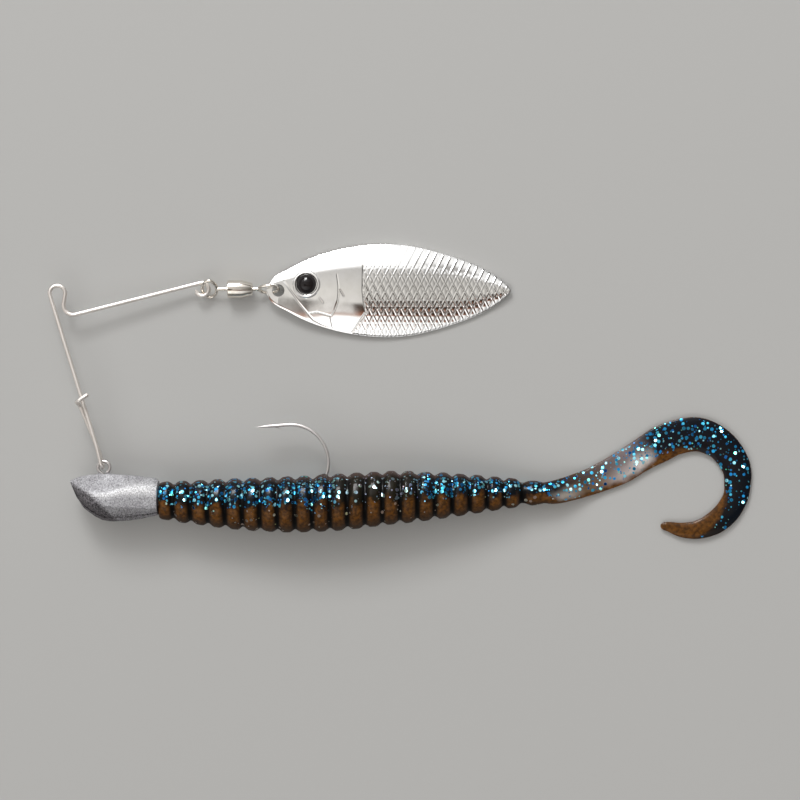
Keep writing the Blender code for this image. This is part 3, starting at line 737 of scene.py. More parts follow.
# %% Hook
SHANK_Y = EYE.y - 6.58 * MM
HOOK_EYE_R = 1.2 * MM
EYE_OPENS = -58
STEM_LEAVES = 236
EYE_STEPS = 32
STEM_NECK = HOOK_R * 1.6
STEM_RADII = 1.8
STEM_BEND = 2.0 * MM
BEND_RADIUS = 7.55 * MM
BEND = Vector((EYE.x + 37.2 * MM, SHANK_Y + BEND_RADIUS, EYE.z))
BEND_STEPS = 48
POINT_LENGTH = 6.85 * MM
POINT_DROP = 0.5 * MM
POINT_TAPER = 3.0 * MM
POINT_STEPS = 8
POINT_POWER = 1.3
POINT_LEAST = 0.05

hook_path = arc(EYE, HOOK_EYE_R, EYE_OPENS, STEM_LEAVES - EYE_OPENS, EYE_STEPS)
stem_top = hook_path[-1] + direction(STEM_LEAVES + 90) * HOOK_R * STEM_RADII
stem_foot = Vector((stem_top.x, SHANK_Y, EYE.z))
shank_end = Vector((BEND.x, SHANK_Y, EYE.z))
hook_path += rounded([hook_path[-1], stem_top, stem_foot, shank_end], [STEM_NECK, STEM_BEND])[1:-1]
hook_path += arc(BEND, BEND_RADIUS, -90, 180, BEND_STEPS)
hook_shares = [1.0] * len(hook_path)
point = BEND + Vector((-POINT_LENGTH, BEND_RADIUS - POINT_DROP, 0.0))
point_way = (point - hook_path[-1]).normalized()
for n in range(POINT_STEPS + 1):
    share = n / POINT_STEPS
    hook_path.append(point - point_way * POINT_TAPER * (1.0 - share))
    hook_shares.append(max(1.0 - share ** POINT_POWER, POINT_LEAST))
hook_wire = bend_wire("hook_wire", hook_path, HOOK_R, hook_shares)
print("hook path of", len(hook_path), "points")

# %% [markdown]
# The barb is a sliver raised from the inner side of the wire, so a thin cone is joined on with a Boolean.

# %% Barb
BARB_FROM_BEND = 1.9 * MM
BARB_LENGTH = 1.7 * MM
BARB_SINK = HOOK_R * 0.3
BARB_SIDES = 20
BARB_LIFT = 0.35
BARB_ROOT_R = HOOK_R * 0.75
BARB_TIP_R = HOOK_R * 0.08

barb_root = BEND + Vector((-BARB_FROM_BEND - BARB_LENGTH, BEND_RADIUS - BARB_SINK, 0.0))
barb_tip = BEND + Vector((-BARB_FROM_BEND, BEND_RADIUS - HOOK_R - BARB_LENGTH * BARB_LIFT, 0.0))
barb_way = barb_tip - barb_root
deselect()
bpy.ops.mesh.primitive_cone_add(
    vertices=BARB_SIDES, radius1=BARB_ROOT_R, radius2=BARB_TIP_R, depth=barb_way.length,
    location=(barb_root + barb_tip) / 2, rotation=barb_way.to_track_quat("Z", "Y").to_euler())
combine(hook_wire, bpy.context.object, "UNION")
smooth_faces(hook_wire, WIRE_ANGLE)
hand_over(hook_wire, "jig", "hook_steel", hook_finish, "jig_hook")

# %% [markdown]
# ## The swivel
# Two wire eyes turn in the ends of a small barrel, all on one axis. The turned pieces start as cylinders
# on that axis, and their end faces are then picked by place and pushed along it.

# %% Swivel tools
AXIS_Y = LOOP.y
AXIS_Z = LOOP.z
FACING = 0.9


def turned(name, sides, radius, start_x, length):
    """A cylinder on the swivel's axis, from one place for a length forward or back."""
    deselect()
    bpy.ops.mesh.primitive_cylinder_add(
        vertices=sides, radius=radius, depth=abs(length),
        location=(start_x + length / 2, AXIS_Y, AXIS_Z), rotation=(0.0, math.radians(90), 0.0))
    return added(name)


def select_end(obj, way):
    """In edit mode, select only the outermost face that looks along X the given way."""

    def outermost(faces):
        ends = [face for face in faces if face.normal.x * way > FACING]
        return [max(ends, key=lambda face: face.calc_center_median().x * way)]

    select_faces(obj, outermost)


def push_end(length=0.0, grow=None):
    """In edit mode, extrude the selected end along X, and scale it about the axis if asked to."""
    bpy.ops.mesh.extrude_region_move(TRANSFORM_OT_translate={"value": (length, 0.0, 0.0)})
    if grow:
        bpy.ops.transform.resize(value=(1.0, grow, grow))


print("swivel axis", round(AXIS_Z / MM, 2), "mm over the table")

# %% [markdown]
# Each eye is an oval ring with a neck. The neck is a cylinder whose end face is extruded and scaled into
# the head that the barrel traps.

# %% Swivel eyes
RING_R = 0.33 * MM
RING_STEPS = 56
FRONT_HALF_LENGTH = 1.45 * MM
FRONT_HALF_HEIGHT = 2.2 * MM
FRONT_TILT = math.radians(45)
REAR_HALF_LENGTH = 1.9 * MM
REAR_HALF_HEIGHT = 1.4 * MM
REAR_TILT = math.radians(62)
NECK_R = 0.4 * MM
NECK_SIDES = 32
STEM_HEAD_R = 0.65 * MM
STEM_HEAD_LENGTH = 0.6 * MM
BARREL_START = place["front_spin"].x
BARREL_END = place["rear_spin"].x
BARREL_WALL = 0.5 * MM
BORE_GAP = 0.2 * MM
LINK_ANGLE = 45


def oval_ring(name, centre_x, half_length, half_height, tilt):
    path = []
    for n in range(RING_STEPS):
        angle = math.tau * n / RING_STEPS
        lift = half_height * math.sin(angle)
        path.append(Vector((
            centre_x + half_length * math.cos(angle),
            AXIS_Y + lift * math.cos(tilt),
            AXIS_Z + lift * math.sin(tilt))))
    return bend_wire(name, path, RING_R, cyclic=True)


def swivel_link(name, ring_x, way, half_length, half_height, tilt, barrel_end):
    """An oval ring, with a neck that goes the given way into the barrel and the head at its end."""
    link = oval_ring(name, ring_x + way * half_length, half_length, half_height, tilt)
    neck_x = ring_x + way * 2 * half_length
    neck_length = barrel_end + way * (BARREL_WALL + BORE_GAP) - neck_x
    rod = turned(name + "_rod", NECK_SIDES, NECK_R, neck_x, neck_length)
    edit(rod)
    select_end(rod, way)
    push_end(grow=STEM_HEAD_R / NECK_R)
    push_end(way * STEM_HEAD_LENGTH)
    leave_edit()
    combine(link, rod, "UNION")
    smooth_faces(link, LINK_ANGLE)
    return link


hole = place["blade_swing"]
front_link = swivel_link(
    "swivel_front_link", LOOP.x, 1, FRONT_HALF_LENGTH, FRONT_HALF_HEIGHT, FRONT_TILT, BARREL_START)
hand_over(front_link, "front_eye", "nickel", nickel_finish, "swivel_front_eye")
rear_link = swivel_link(
    "swivel_rear_link", hole.x, -1, REAR_HALF_LENGTH, REAR_HALF_HEIGHT, REAR_TILT, BARREL_END)
hand_over(rear_link, "rear_eye", "nickel", nickel_finish, "swivel_rear_eye")

# %% [markdown]
# The barrel starts as a cylinder. Its far end is extruded and scaled into the nose, both rims are
# bevelled as the rolled brass is, and each end is inset and pushed in round the neck.

# %% Swivel barrel
BARREL_R = 1.8 * MM
BARREL_SIDES = 64
BARREL_STRAIGHT = 2.8 * MM
BARREL_TAIL_R = 1.2 * MM
RIM_BEVEL = 0.22 * MM
RIM_STEPS = 4
BARREL_ANGLE = 35

barrel = turned("swivel_barrel_shell", BARREL_SIDES, BARREL_R, BARREL_START, BARREL_STRAIGHT)
edit(barrel)
select_end(barrel, 1)
push_end(BARREL_END - BARREL_START - BARREL_STRAIGHT, BARREL_TAIL_R / BARREL_R)
for way, end_r in ((-1, BARREL_R), (1, BARREL_TAIL_R)):
    select_end(barrel, way)
    bpy.ops.mesh.bevel(offset=RIM_BEVEL, segments=RIM_STEPS, affect="EDGES")
    select_end(barrel, way)
    bpy.ops.mesh.inset(thickness=end_r - RIM_BEVEL - NECK_R - BORE_GAP)
    push_end(-way * BARREL_WALL)
leave_edit()
smooth_faces(barrel, BARREL_ANGLE)
hand_over(barrel, "barrel", "nickel", nickel_finish, "swivel_barrel")

# %% [markdown]
# ## The blade
# A stamped willow leaf with a fish's face and a net of scales. It is cut as a flat slab first. Then
# every point is lifted onto the domed leaf, and the stamping is added to both faces, as in real sheet
# metal. The leaf's outline is one formula with a power that changes toward each end.

# %% Leaf outline
BLADE_LENGTH = 49.1 * MM
BLADE_WIDTH = 18.6 * MM
BLADE_THICKNESS = 0.5 * MM
BLADE_HOLE = 2.5 * MM
HOLE_SETBACK = 2.35 * MM
HANG = 0.25 * MM
# How blunt the leaf is toward each end, and the share of its length over which that changes
NOSE_POWERS = (0.55, 0.70)
NOSE_EASE = (0.0, 0.1)
TAIL_POWERS = (1.15, 0.80)
TAIL_EASE = (0.6, 0.35)
OUTLINE_STEPS = 160

nose_x = hole.x - HOLE_SETBACK
leaf_y = AXIS_Y - HANG


def ease(value, start, length):
    """Go smoothly from 0 to 1 as a value goes on from a start over a length."""
    share = min(max((value - start) / length, 0.0), 1.0)
    return share * share * (3.0 - 2.0 * share)


def half_width(share):
    """Half the leaf's width: blunt at the nose, and running finer to a rounded tip."""
    (start, end), span = (NOSE_POWERS, NOSE_EASE) if share < 0.5 else (TAIL_POWERS, TAIL_EASE)
    power = start + (end - start) * ease(share, *span)
    return BLADE_WIDTH / 2 * max(4.0 * share * (1.0 - share), 0.0) ** power


def leaf_outline():
    """Points round the leaf, evenly turned so the ends are as smooth as the flanks."""
    points = []
    for n in range(OUTLINE_STEPS):
        turn = math.tau * n / OUTLINE_STEPS
        share = 0.5 - 0.5 * math.cos(turn)
        side = 1.0 if turn < math.pi else -1.0
        points.append(Vector((nose_x + BLADE_LENGTH * share, leaf_y + side * half_width(share), 0.0)))
    return points


print("leaf of", OUTLINE_STEPS, "points")

# %% [markdown]
# The slab's grid is set to the scale pitch, so each ridge of the net runs along a row of grid points
# and comes out crisp. Booleans cut the slab to the leaf and drill it while it is flat, where they are
# quick and exact.

# %% Blade slab, cut to the leaf
SCALE_LENGTH = 1.6 * MM
SCALE_HEIGHT = 3.2 * MM
CELLS_PER_SCALE = 14
SPARE_CELLS = 4
FACE_LENGTH = 20.5 * MM
HOLE_SIDES = 64
MERGE = 0.00001 * MM

columns = math.ceil(BLADE_LENGTH / SCALE_LENGTH * CELLS_PER_SCALE) + SPARE_CELLS
rows = math.ceil(BLADE_WIDTH / SCALE_HEIGHT * CELLS_PER_SCALE / 2) * 2 + SPARE_CELLS
slab_length = columns * (SCALE_LENGTH / CELLS_PER_SCALE)
slab_width = rows * (SCALE_HEIGHT / CELLS_PER_SCALE)
deselect()
bpy.ops.mesh.primitive_grid_add(
    x_subdivisions=columns, y_subdivisions=rows, size=1.0,
    location=(nose_x + BLADE_LENGTH / 2, leaf_y, 0.0))
bpy.context.object.scale = (slab_length, slab_width, 1.0)
blade = added("fish_blade")
apply_step(blade, "SOLIDIFY", thickness=BLADE_THICKNESS, offset=0.0)

deselect()
bpy.ops.mesh.primitive_circle_add(vertices=OUTLINE_STEPS, radius=1.0, fill_type="NGON")
leaf = bpy.context.object
for corner, spot in zip(leaf.data.vertices, leaf_outline()):
    corner.co = spot - Vector((0.0, 0.0, BLADE_THICKNESS * 2))
edit(leaf)
bpy.ops.mesh.remove_doubles(threshold=MERGE)
bpy.ops.mesh.extrude_region_move(TRANSFORM_OT_translate={"value": (0.0, 0.0, BLADE_THICKNESS * 4)})
turn_out()
combine(blade, leaf, "INTERSECT")

deselect()
bpy.ops.mesh.primitive_cylinder_add(
    vertices=HOLE_SIDES, radius=BLADE_HOLE / 2, depth=BLADE_THICKNESS * 4, location=(hole.x, leaf_y, 0.0))
combine(blade, bpy.context.object, "DIFFERENCE")
print("blade slab", len(blade.data.vertices), "points")

# %% [markdown]
# The upper side shows the most, so it gets more points: the fish's face is subdivided for its fine lines,
# and every cell of the net is poked into four, which gives a ridge the same slope on both of its sides.

# %% Finer upper side
face_end = nose_x + FACE_LENGTH


def upper_side(past_face):
    """A choice of the slab's upper faces: those past the fish's face, or those of it."""

    def chosen(faces):
        upper = [face for face in faces if face.normal.z > FACING]
        return [face for face in upper if (face.calc_center_median().x > face_end) == past_face]

    return chosen


edit(blade)
select_faces(blade, upper_side(past_face=False))
bpy.ops.mesh.subdivide(number_cuts=1)
select_faces(blade, upper_side(past_face=True))
bpy.ops.mesh.poke()
leave_edit()
print("finer slab", len(blade.data.vertices), "points")

# %% [markdown]
# The dome is a formula: a crown along the leaf, a drop toward the tip and a sag to both rims, as deep as
# the table under it leaves room for. Lengths along the leaf run from its nose, and lengths across from
# its axis.

# %% Dome
CROWN = 0.4 * MM
CROWN_SHARE = 0.7
SAG = 1.75 * MM
SAG_EASE = (0.15, 0.2)
TIP_DROP = 1.0 * MM
DROP_EASE = (0.35, 0.65)
TABLE_PLAY = 0.06 * MM


def dome(share, across):
    """Height of the leaf's middle sheet over the swivel's axis."""
    fullness = half_width(share) / (BLADE_WIDTH / 2)
    hole_share = HOLE_SETBACK / BLADE_LENGTH
    crown = CROWN * math.sin(math.pi * min(max(share - hole_share, 0.0) / CROWN_SHARE, 1.0))
    drop = TIP_DROP * ease(share, *DROP_EASE)
    room = AXIS_Z + crown - drop - BLADE_THICKNESS / 2 - TABLE_PLAY
    power = 1.0 if across > 0.0 else 2.0 - ease(share, *SAG_EASE)
    return crown - drop - min(SAG * fullness ** power, room) * across * across


print("crown", round(dome(0.4, 0.0) / MM, 2), "mm and tip", round(dome(1.0, 0.0) / MM, 2), "mm")

# %% [markdown]
# The net of scales is two sets of slanted ridges with a low bulge in every scale. It begins along a bent
# front behind the gill, and it fades toward the upper rim.

# %% Net of scales
RIDGE_HEIGHT = 0.085 * MM
RIDGE_WIDTH = 0.26 * MM
SCALE_BULGE = 0.075 * MM
NET_EDGE = 0.3 * MM
FADE_EASE = (0.42, 0.2)
FADED = 0.92
STREAK_EASE = (0.5, 0.25)
LEAST_HALF = 0.1 * MM
# In millimetres from the nose and from the axis
SCALE_FRONT = [
    (18.4, 9.4), (19.3, 4.9), (19.2, 0.0), (19.5, -2.8), (19.8, -4.3), (17.8, -7.4), (16.6, -8.9),
]

grid_x = BLADE_LENGTH / 2 - slab_length / 2
grid_y = -slab_width / 2


def scale_front_at(off):
    """Where the net of scales begins, at one distance off the axis."""
    for (x0, y0), (x1, y1) in zip(SCALE_FRONT, SCALE_FRONT[1:]):
        if y1 * MM <= off <= y0 * MM:
            return (x0 + (x1 - x0) * (off - y0 * MM) / ((y1 - y0) * MM)) * MM
    return SCALE_FRONT[0][0] * MM if off > 0 else SCALE_FRONT[-1][0] * MM


def ridge(value):
    """Height of one set of net lines, by how far a lattice value is from a whole number."""
    spacing = SCALE_LENGTH * SCALE_HEIGHT / math.hypot(SCALE_LENGTH, SCALE_HEIGHT)
    return 1.0 - ease(abs(value - round(value)) * spacing, 0.0, RIDGE_WIDTH)


def net_height(spot):
    """Height of the net of scales at one spot of the leaf."""
    begin = ease(spot.x, scale_front_at(spot.y), NET_EDGE)
    if begin == 0.0:
        return 0.0
    column = (spot.x - grid_x) / SCALE_LENGTH
    row = (spot.y - grid_y) / SCALE_HEIGHT
    share = spot.x / BLADE_LENGTH
    upper = ease(spot.y / max(half_width(share), LEAST_HALF), *FADE_EASE)
    faint = 1.0 - FADED * upper
    streak = 1.0 - FADED * upper * (1.0 - ease(share, *STREAK_EASE))
    lift = RIDGE_HEIGHT * max(ridge(column + row) * faint, ridge(column - row) * streak)
    first = 2.0 * ((column + row) % 1.0) - 1.0
    second = 2.0 * ((column - row) % 1.0) - 1.0
    lift += SCALE_BULGE * (1.0 - first * first) * (1.0 - second * second) * faint
    return lift * begin


print("scales", SCALE_LENGTH / MM, "by", SCALE_HEIGHT / MM, "mm")

# %% [markdown]
# The fish's face is stamped with grooves for mouth, gill and cheek, and a raised rim round the eye. Each
# line is a few points, in millimetres from the nose and from the axis.

# %% Lines of the face
GROOVE_DEPTH = 0.075 * MM
GROOVE_WIDTH = 0.19 * MM
GROOVE_REACH = 1.5
GROOVE_STEEP = 4.0
EYE_SPOT = Vector((8.0, 1.23)) * MM
EYE_RING_R = 2.42 * MM
EYE_RING_WIDTH = 0.62 * MM
EYE_RING_HEIGHT = 0.26 * MM
GILL = [(14.1, 3.2), (14.4, 1.0), (14.4, -0.6), (14.2, -2.2), (13.6, -4.0), (12.8, -5.4), (13.3, -7.9)]
MOUTH = [(3.5, 1.9), (4.8, -0.1), (6.4, -2.3), (8.3, -4.6)]
JAW = [(8.3, -4.6), (10.1, -4.3), (11.5, -4.7), (12.8, -5.1)]
LOBE = [(8.5, -4.9), (9.4, -5.9), (11.2, -6.9), (12.9, -7.45)]
STROKES = [[(14.7, 0.1), (15.5, -1.2)], [(10.6, -1.6), (11.2, -2.5)]]
FACE_LINES = [GILL, MOUTH, JAW, LOBE, SCALE_FRONT[1:]] + STROKES


def line_distance(spot, line):
    """How far a spot in metres lies from a line of given points in millimetres."""
    best = 1.0
    for start, end in zip(line, line[1:]):
        first = Vector(start) * MM
        way = Vector(end) * MM - first
        share = min(max((spot - first).dot(way) / way.length_squared, 0.0), 1.0)
        best = min(best, (spot - first - way * share).length)
    return best


def face_height(spot):
    """Depth of the face's lines and height of the eye's rim at one spot of the leaf."""
    lift = 0.0
    for line in FACE_LINES:
        near = line_distance(spot, line) / GROOVE_WIDTH
        if near < GROOVE_REACH:
            lift -= GROOVE_DEPTH * math.exp(-GROOVE_STEEP * near * near)
    off_eye = ((spot - EYE_SPOT).length - EYE_RING_R) / (EYE_RING_WIDTH / 2)
    if abs(off_eye) < 1.0:
        lift += EYE_RING_HEIGHT * math.sqrt(1.0 - off_eye * off_eye)
    return lift


print("lines of the face:", len(FACE_LINES))

# %% [markdown]
# Now every point of the slab is lifted. The stamping fades out at the rim, which is rounded over a
# little.

# %% Press the blade
RIM_ROUND = 0.4 * MM
RIM_FALL = 0.05 * MM
UNDER_RISE = 0.5
END_SHARE = 0.001
BLADE_ANGLE = 38

for vertex in blade.data.vertices:
    spot = Vector((vertex.co.x - nose_x, vertex.co.y - leaf_y))
    share = min(max(spot.x / BLADE_LENGTH, END_SHARE), 1.0 - END_SHARE)
    half = half_width(share)
    across = min(max(spot.y / half, -1.0), 1.0)
    stamped = net_height(spot)
    if spot.x < FACE_LENGTH:
        stamped += face_height(spot)
    rim = ease(abs(spot.y), half - RIM_ROUND, RIM_ROUND)
    fall = RIM_FALL * rim * (1.0 if vertex.co.z > 0.0 else -UNDER_RISE)
    vertex.co.z += AXIS_Z + dome(share, across) + stamped * (1.0 - rim) - fall
smooth_faces(blade, BLADE_ANGLE)
hand_over(blade, "spinner", "blade_chrome", chrome_finish, "blade")

# %% [markdown]
# The eye is a glossy black bead, domed like a lens. A sphere is cut flat below its middle with bisect and
# set in the raised rim.

# %% Eye bead
BEAD_R = 2.05 * MM
BEAD_HEIGHT = 1.1 * MM
BEAD_SINK = 0.25 * MM
BEAD_GAP = 0.15 * MM
BEAD_ANGLE = 60

eye_share = EYE_SPOT.x / BLADE_LENGTH
eye_across = EYE_SPOT.y / half_width(eye_share)
seat = Vector((
    nose_x + EYE_SPOT.x, leaf_y + EYE_SPOT.y,
    AXIS_Z + dome(eye_share, eye_across) + BLADE_THICKNESS / 2))
full_height = BEAD_HEIGHT + BEAD_SINK
dome_r = (BEAD_R ** 2 + full_height ** 2) / (2 * full_height)
deselect()
bpy.ops.mesh.primitive_uv_sphere_add(
    segments=64, ring_count=48, radius=dome_r,
    location=seat + Vector((0.0, 0.0, BEAD_HEIGHT + BEAD_GAP - dome_r)))
bead = added("eye_bead")
edit(bead)
bpy.ops.mesh.bisect(
    plane_co=seat + Vector((0.0, 0.0, BEAD_GAP - BEAD_SINK)), plane_no=(0.0, 0.0, 1.0),
    use_fill=True, clear_inner=True)
leave_edit()
smooth_faces(bead, BEAD_ANGLE)
hand_over(bead, "spinner", "black_eye", black_bead, "blade_eye")

# %% [markdown]
# ## The lead head
# The cast head has a sharp nose, a long crease along the cheek with a painted highlight on it, and a thin
# parting lip under the keel. Twelve points go round each section: the top, two creases, the lip's two
# edges and the keel, on both sides.

# %% Head sections
HEAD_LENGTH = 17.5 * MM
HEAD_WIDTH = 9.4 * MM
ABOVE_SHANK = 5.24 * MM
BELOW_SHANK = 4.12 * MM
NOSE_AHEAD = 6.64 * MM
TOP_WIDTH = 0.34
KEEL_WIDTH = 0.26
LIP_HEIGHT = 0.85 * MM
LIP_STEP = 0.16 * MM
LIP_MOST = 0.4
LIP_EDGE = 0.72
STEP_MOST = 0.1
STEP_OUT = 0.4
LEAST_DEPTH = 0.01 * MM
HEAD_SIDES = 12
COLLAR_TURN = 75
# The keeper collar inside the worm: how far behind the head each section is and its radius
COLLAR = [(0.05, 1.5), (4.3, 1.5), (4.5, 2.0), (6.0, 1.05)]
# Share of the length, then top, upper crease, lower crease and keel as shares of the height above
# or below the shank, and half the width as a share.
HEAD_SECTIONS = [
    (0.000, 0.76, 0.73, 0.70, 0.67, 0.10),
    (0.071, 0.87, 0.59, 0.38, 0.13, 0.42),
    (0.162, 0.95, 0.42, 0.08, -0.37, 0.77),
    (0.265, 0.99, 0.29, -0.15, -0.70, 0.96),
    (0.367, 1.00, 0.25, -0.21, -0.93, 1.00),
    (0.470, 1.00, 0.28, -0.23, -1.00, 1.00),
    (0.572, 0.98, 0.38, -0.27, -1.00, 1.00),
    (0.686, 0.95, 0.45, -0.29, -0.96, 1.00),
    (0.835, 0.90, 0.48, -0.32, -0.86, 1.00),
    (0.960, 0.83, 0.45, -0.34, -0.75, 0.93),
    (1.000, 0.74, 0.43, -0.34, -0.68, 0.88),
]
HEAD_START = EYE.x - NOSE_AHEAD


def head_section(share, top, upper, lower, keel, wide):
    """Twelve points round one section of the head, down one side and up the other."""
    heights = [value * (ABOVE_SHANK if value > 0 else BELOW_SHANK) for value in (top, upper, lower, keel)]
    half = HEAD_WIDTH / 2 * wide
    depth = heights[2] - heights[3]
    lip = min(LIP_HEIGHT, depth * LIP_MOST)
    lip_half = half * (KEEL_WIDTH + (1.0 - KEEL_WIDTH) * lip / max(depth, LEAST_DEPTH))
    step = min(LIP_STEP, half * STEP_MOST)
    side = [
        (heights[0], half * TOP_WIDTH), (heights[1], half), (heights[2], half),
        (heights[3] + lip, lip_half - step), (heights[3] + lip * LIP_EDGE, lip_half + step * STEP_OUT),
        (heights[3], half * KEEL_WIDTH),
    ]
    ring = side + [(y, -z) for y, z in reversed(side)]
    x = HEAD_START + HEAD_LENGTH * share
    return [Vector((x, SHANK_Y + y, EYE.z + z)) for y, z in ring]


def collar_section(behind, radius):
    """As many points round a circle, in the same order."""
    x = HEAD_START + HEAD_LENGTH + behind * MM
    points = []
    for n in range(HEAD_SIDES):
        turn = math.radians(COLLAR_TURN - 360 / HEAD_SIDES * n)
        points.append(Vector((
            x, SHANK_Y + radius * MM * math.sin(turn), EYE.z + radius * MM * math.cos(turn))))
    return points


sections = [head_section(*row) for row in HEAD_SECTIONS]
sections += [collar_section(*row) for row in COLLAR]
print("head sections", len(sections))

# %% [markdown]
# A twelve-sided face is extruded from section to section. The edges are then bevelled and subdivided, so
# the facets stay but their corners are soft.

# %% Cast head
HEAD_BEVEL = 0.28 * MM
BEVEL_FROM = math.radians(14)

deselect()
bpy.ops.mesh.primitive_circle_add(vertices=HEAD_SIDES, radius=1.0, fill_type="NGON")
head = added("cast_head")
for vertex, spot in zip(head.data.vertices, sections[0]):
    vertex.co = spot
edit(head)
for section in sections[1:]:
    bpy.ops.mesh.extrude_region_move()
    shape = bmesh.from_edit_mesh(head.data)
    ring = [loop.vert for loop in next(face for face in shape.faces if face.select).loops]
    for vertex, spot in zip(ring, section):
        vertex.co = spot
    bmesh.update_edit_mesh(head.data)
turn_out()
apply_step(head, "BEVEL", width=HEAD_BEVEL, segments=2, limit_method="ANGLE", angle_limit=BEVEL_FROM)
apply_step(head, "SUBSURF", levels=2, render_levels=2)
print("head", len(head.data.polygons), "faces")

# %% [markdown]
# Cast metal is never quite even. A slow noise moves the skin by a few hundredths of a millimetre, and a
# little flash stands up where the hook's eye comes out of the mould. The normals are read before any
# point moves, so the order of the points makes no difference.

# %% Cast skin
LUMP = 0.07 * MM
LUMP_SIZES = (1.6 * MM, 0.7 * MM)
FINE_LUMPS = 0.5
FLASH_HEIGHT = 0.28 * MM
FLASH_REACH = 0.5625 * MM
FLASH_OFFSETS = (-0.75 * MM, 0.975 * MM)


def lumps(spot, sizes, fine_share):
    """A slow noise with a share of a finer one."""
    return noise.noise(spot / sizes[0]) + fine_share * noise.noise(spot / sizes[1])


flash = [Vector((stem_top.x + offset, SHANK_Y + ABOVE_SHANK, EYE.z)) for offset in FLASH_OFFSETS]
outward = [vertex.normal.copy() for vertex in head.data.vertices]
for vertex, way in zip(head.data.vertices, outward):
    vertex.co += way * LUMP * lumps(vertex.co, LUMP_SIZES, FINE_LUMPS)
    for spot in flash:
        vertex.co.y += FLASH_HEIGHT * math.exp(-((vertex.co - spot).length / FLASH_REACH) ** 2)
    vertex.co.z = max(vertex.co.z, 0.0)
print("cast skin and flash at", len(flash), "spots")

# %% [markdown]
# A painted highlight runs along the crease of each cheek. An attribute holds how near every point is to
# it.

# %% Painted highlight on the crease
HIGHLIGHT_REACH = 0.45 * MM
HIGHLIGHT_SPREAD = 0.75 * MM
HIGHLIGHT_BELOW = 0.2 * MM
SPREAD_EASE = (0.3, 0.7)
HIGHLIGHT_EASE = (0.12, 0.3)
HEAD_ANGLE = 60

crease = []
for share, _, upper, _, _, _ in HEAD_SECTIONS[2:]:
    crease_x = HEAD_START + HEAD_LENGTH * share
    crease_y = SHANK_Y + upper * ABOVE_SHANK - HIGHLIGHT_BELOW
    crease.append((crease_x / MM, crease_y / MM))
# Painted highlight: how near each point is to the crease
worn = []
for vertex in head.data.vertices:
    share = (vertex.co.x - HEAD_START) / HEAD_LENGTH
    reach = HIGHLIGHT_REACH + HIGHLIGHT_SPREAD * ease(share, *SPREAD_EASE)
    near = line_distance(vertex.co.xy, crease)
    worn.append(math.exp(-(near / reach) ** 2) * ease(share, *HIGHLIGHT_EASE))
head.data.attributes.new("worn", "FLOAT", "POINT").data.foreach_set("value", worn)
smooth_faces(head, HEAD_ANGLE)
hand_over(head, "jig", "lead", cast_lead, "jig_head")

# %% [markdown]
# ## The worm
# A ringed body that runs out into a flat, curled tail, all one soft moulding. It starts as a flat grid:
# its columns run along the worm and its rows go round, so rolling the grid into a tube closes it. The
# shape is a list of stations, one for each column, first along the ringed body and then along the tail.

# %% Ringed body
WORM_FRONT = HEAD_START + HEAD_LENGTH + SEAT_GAP
WORM_LENGTH = 76.3 * MM
FRONT_RADIUS = 3.7 * MM
BELLY_RADIUS = 5.65 * MM
ROOT_RADIUS = 2.2 * MM
BELLY_FROM = 0.40
BELLY_TO = 0.46
BELLY_SAG = 0.8 * MM
SAG_SHARE = 0.6
ROOT_RISE = 1.4 * MM
RISE_EASE = (0.3, 0.7)
SETTLE_EASE = (0.0, 0.25)
RIB_COUNT = 21
RIB_PITCH = 3.46 * MM
RIB_START = 1.1 * MM
RIB_DEPTH = 0.72 * MM
RIB_ROUND = 0.35
RIB_EASE = (0.3, 0.7)
LAST_RIB = 0.7
RINGS_PER_RIB = 14
MOUTH_SHARE = 0.55
ACROSS = Vector((0.0, 1.0, 0.0))


def worm_radius(share):
    if share < BELLY_FROM:
        return FRONT_RADIUS + (BELLY_RADIUS - FRONT_RADIUS) * math.sin(math.pi / 2 * share / BELLY_FROM)
    fall = max(share - BELLY_TO, 0.0) / (1.0 - BELLY_TO)
    return ROOT_RADIUS + (BELLY_RADIUS - ROOT_RADIUS) * math.cos(math.pi / 2 * fall)


def worm_axis(share):
    sag = BELLY_SAG * math.sin(math.pi * min(share / SAG_SHARE, 1.0))
    climb = ROOT_RISE * ease(share, *RISE_EASE)
    lift = (EYE.z - FRONT_RADIUS) * (1.0 - ease(share, *SETTLE_EASE))
    return Vector((WORM_FRONT + WORM_LENGTH * share, SHANK_Y - sag + climb, worm_radius(share) + lift))


def groove_at(run):
    """How deep in a groove a place along the body is, from 0 on a ring to 1 between two."""
    number = (run - RIB_START) / RIB_PITCH
    if number > RIB_COUNT - 0.5:
        return 1.0 - ease(number, RIB_COUNT - 0.5, LAST_RIB)
    phase = abs(2.0 * (number - round(number)))
    return RIB_ROUND * phase * phase + (1.0 - RIB_ROUND) * ease(phase, *RIB_EASE)


# A station is its centre, the way across, half the width, half the thickness, how deep in a groove it is
# and how far along the tail
stations = []
body_rings = round(WORM_LENGTH / RIB_PITCH * RINGS_PER_RIB)
for n in range(body_rings):
    share = n / body_rings
    groove = groove_at(share * WORM_LENGTH)
    radius = worm_radius(share) - RIB_DEPTH * groove
    if n == 0:
        stations.append((worm_axis(0.0), ACROSS, radius * MOUTH_SHARE, radius * MOUTH_SHARE, 1.0, 0.0))
    stations.append((worm_axis(share), ACROSS, radius, radius, groove, 0.0))
print("body rings:", len(stations))

# %% [markdown]
# The tail is flat on the table and curls back on itself. A few listed points give its middle line and its
# width, and a smooth curve runs through them.

# %% Curled tail
TAIL_WIDTH = 7.2 * MM
TAIL_THICKNESS = 1.3 * MM
TAIL_REACH = 39.1 * MM
TAIL_BLEND = 12.0 * MM
THIN_TIP = 0.55
THIN_FROM = 0.5
CURL_STEPS = 7
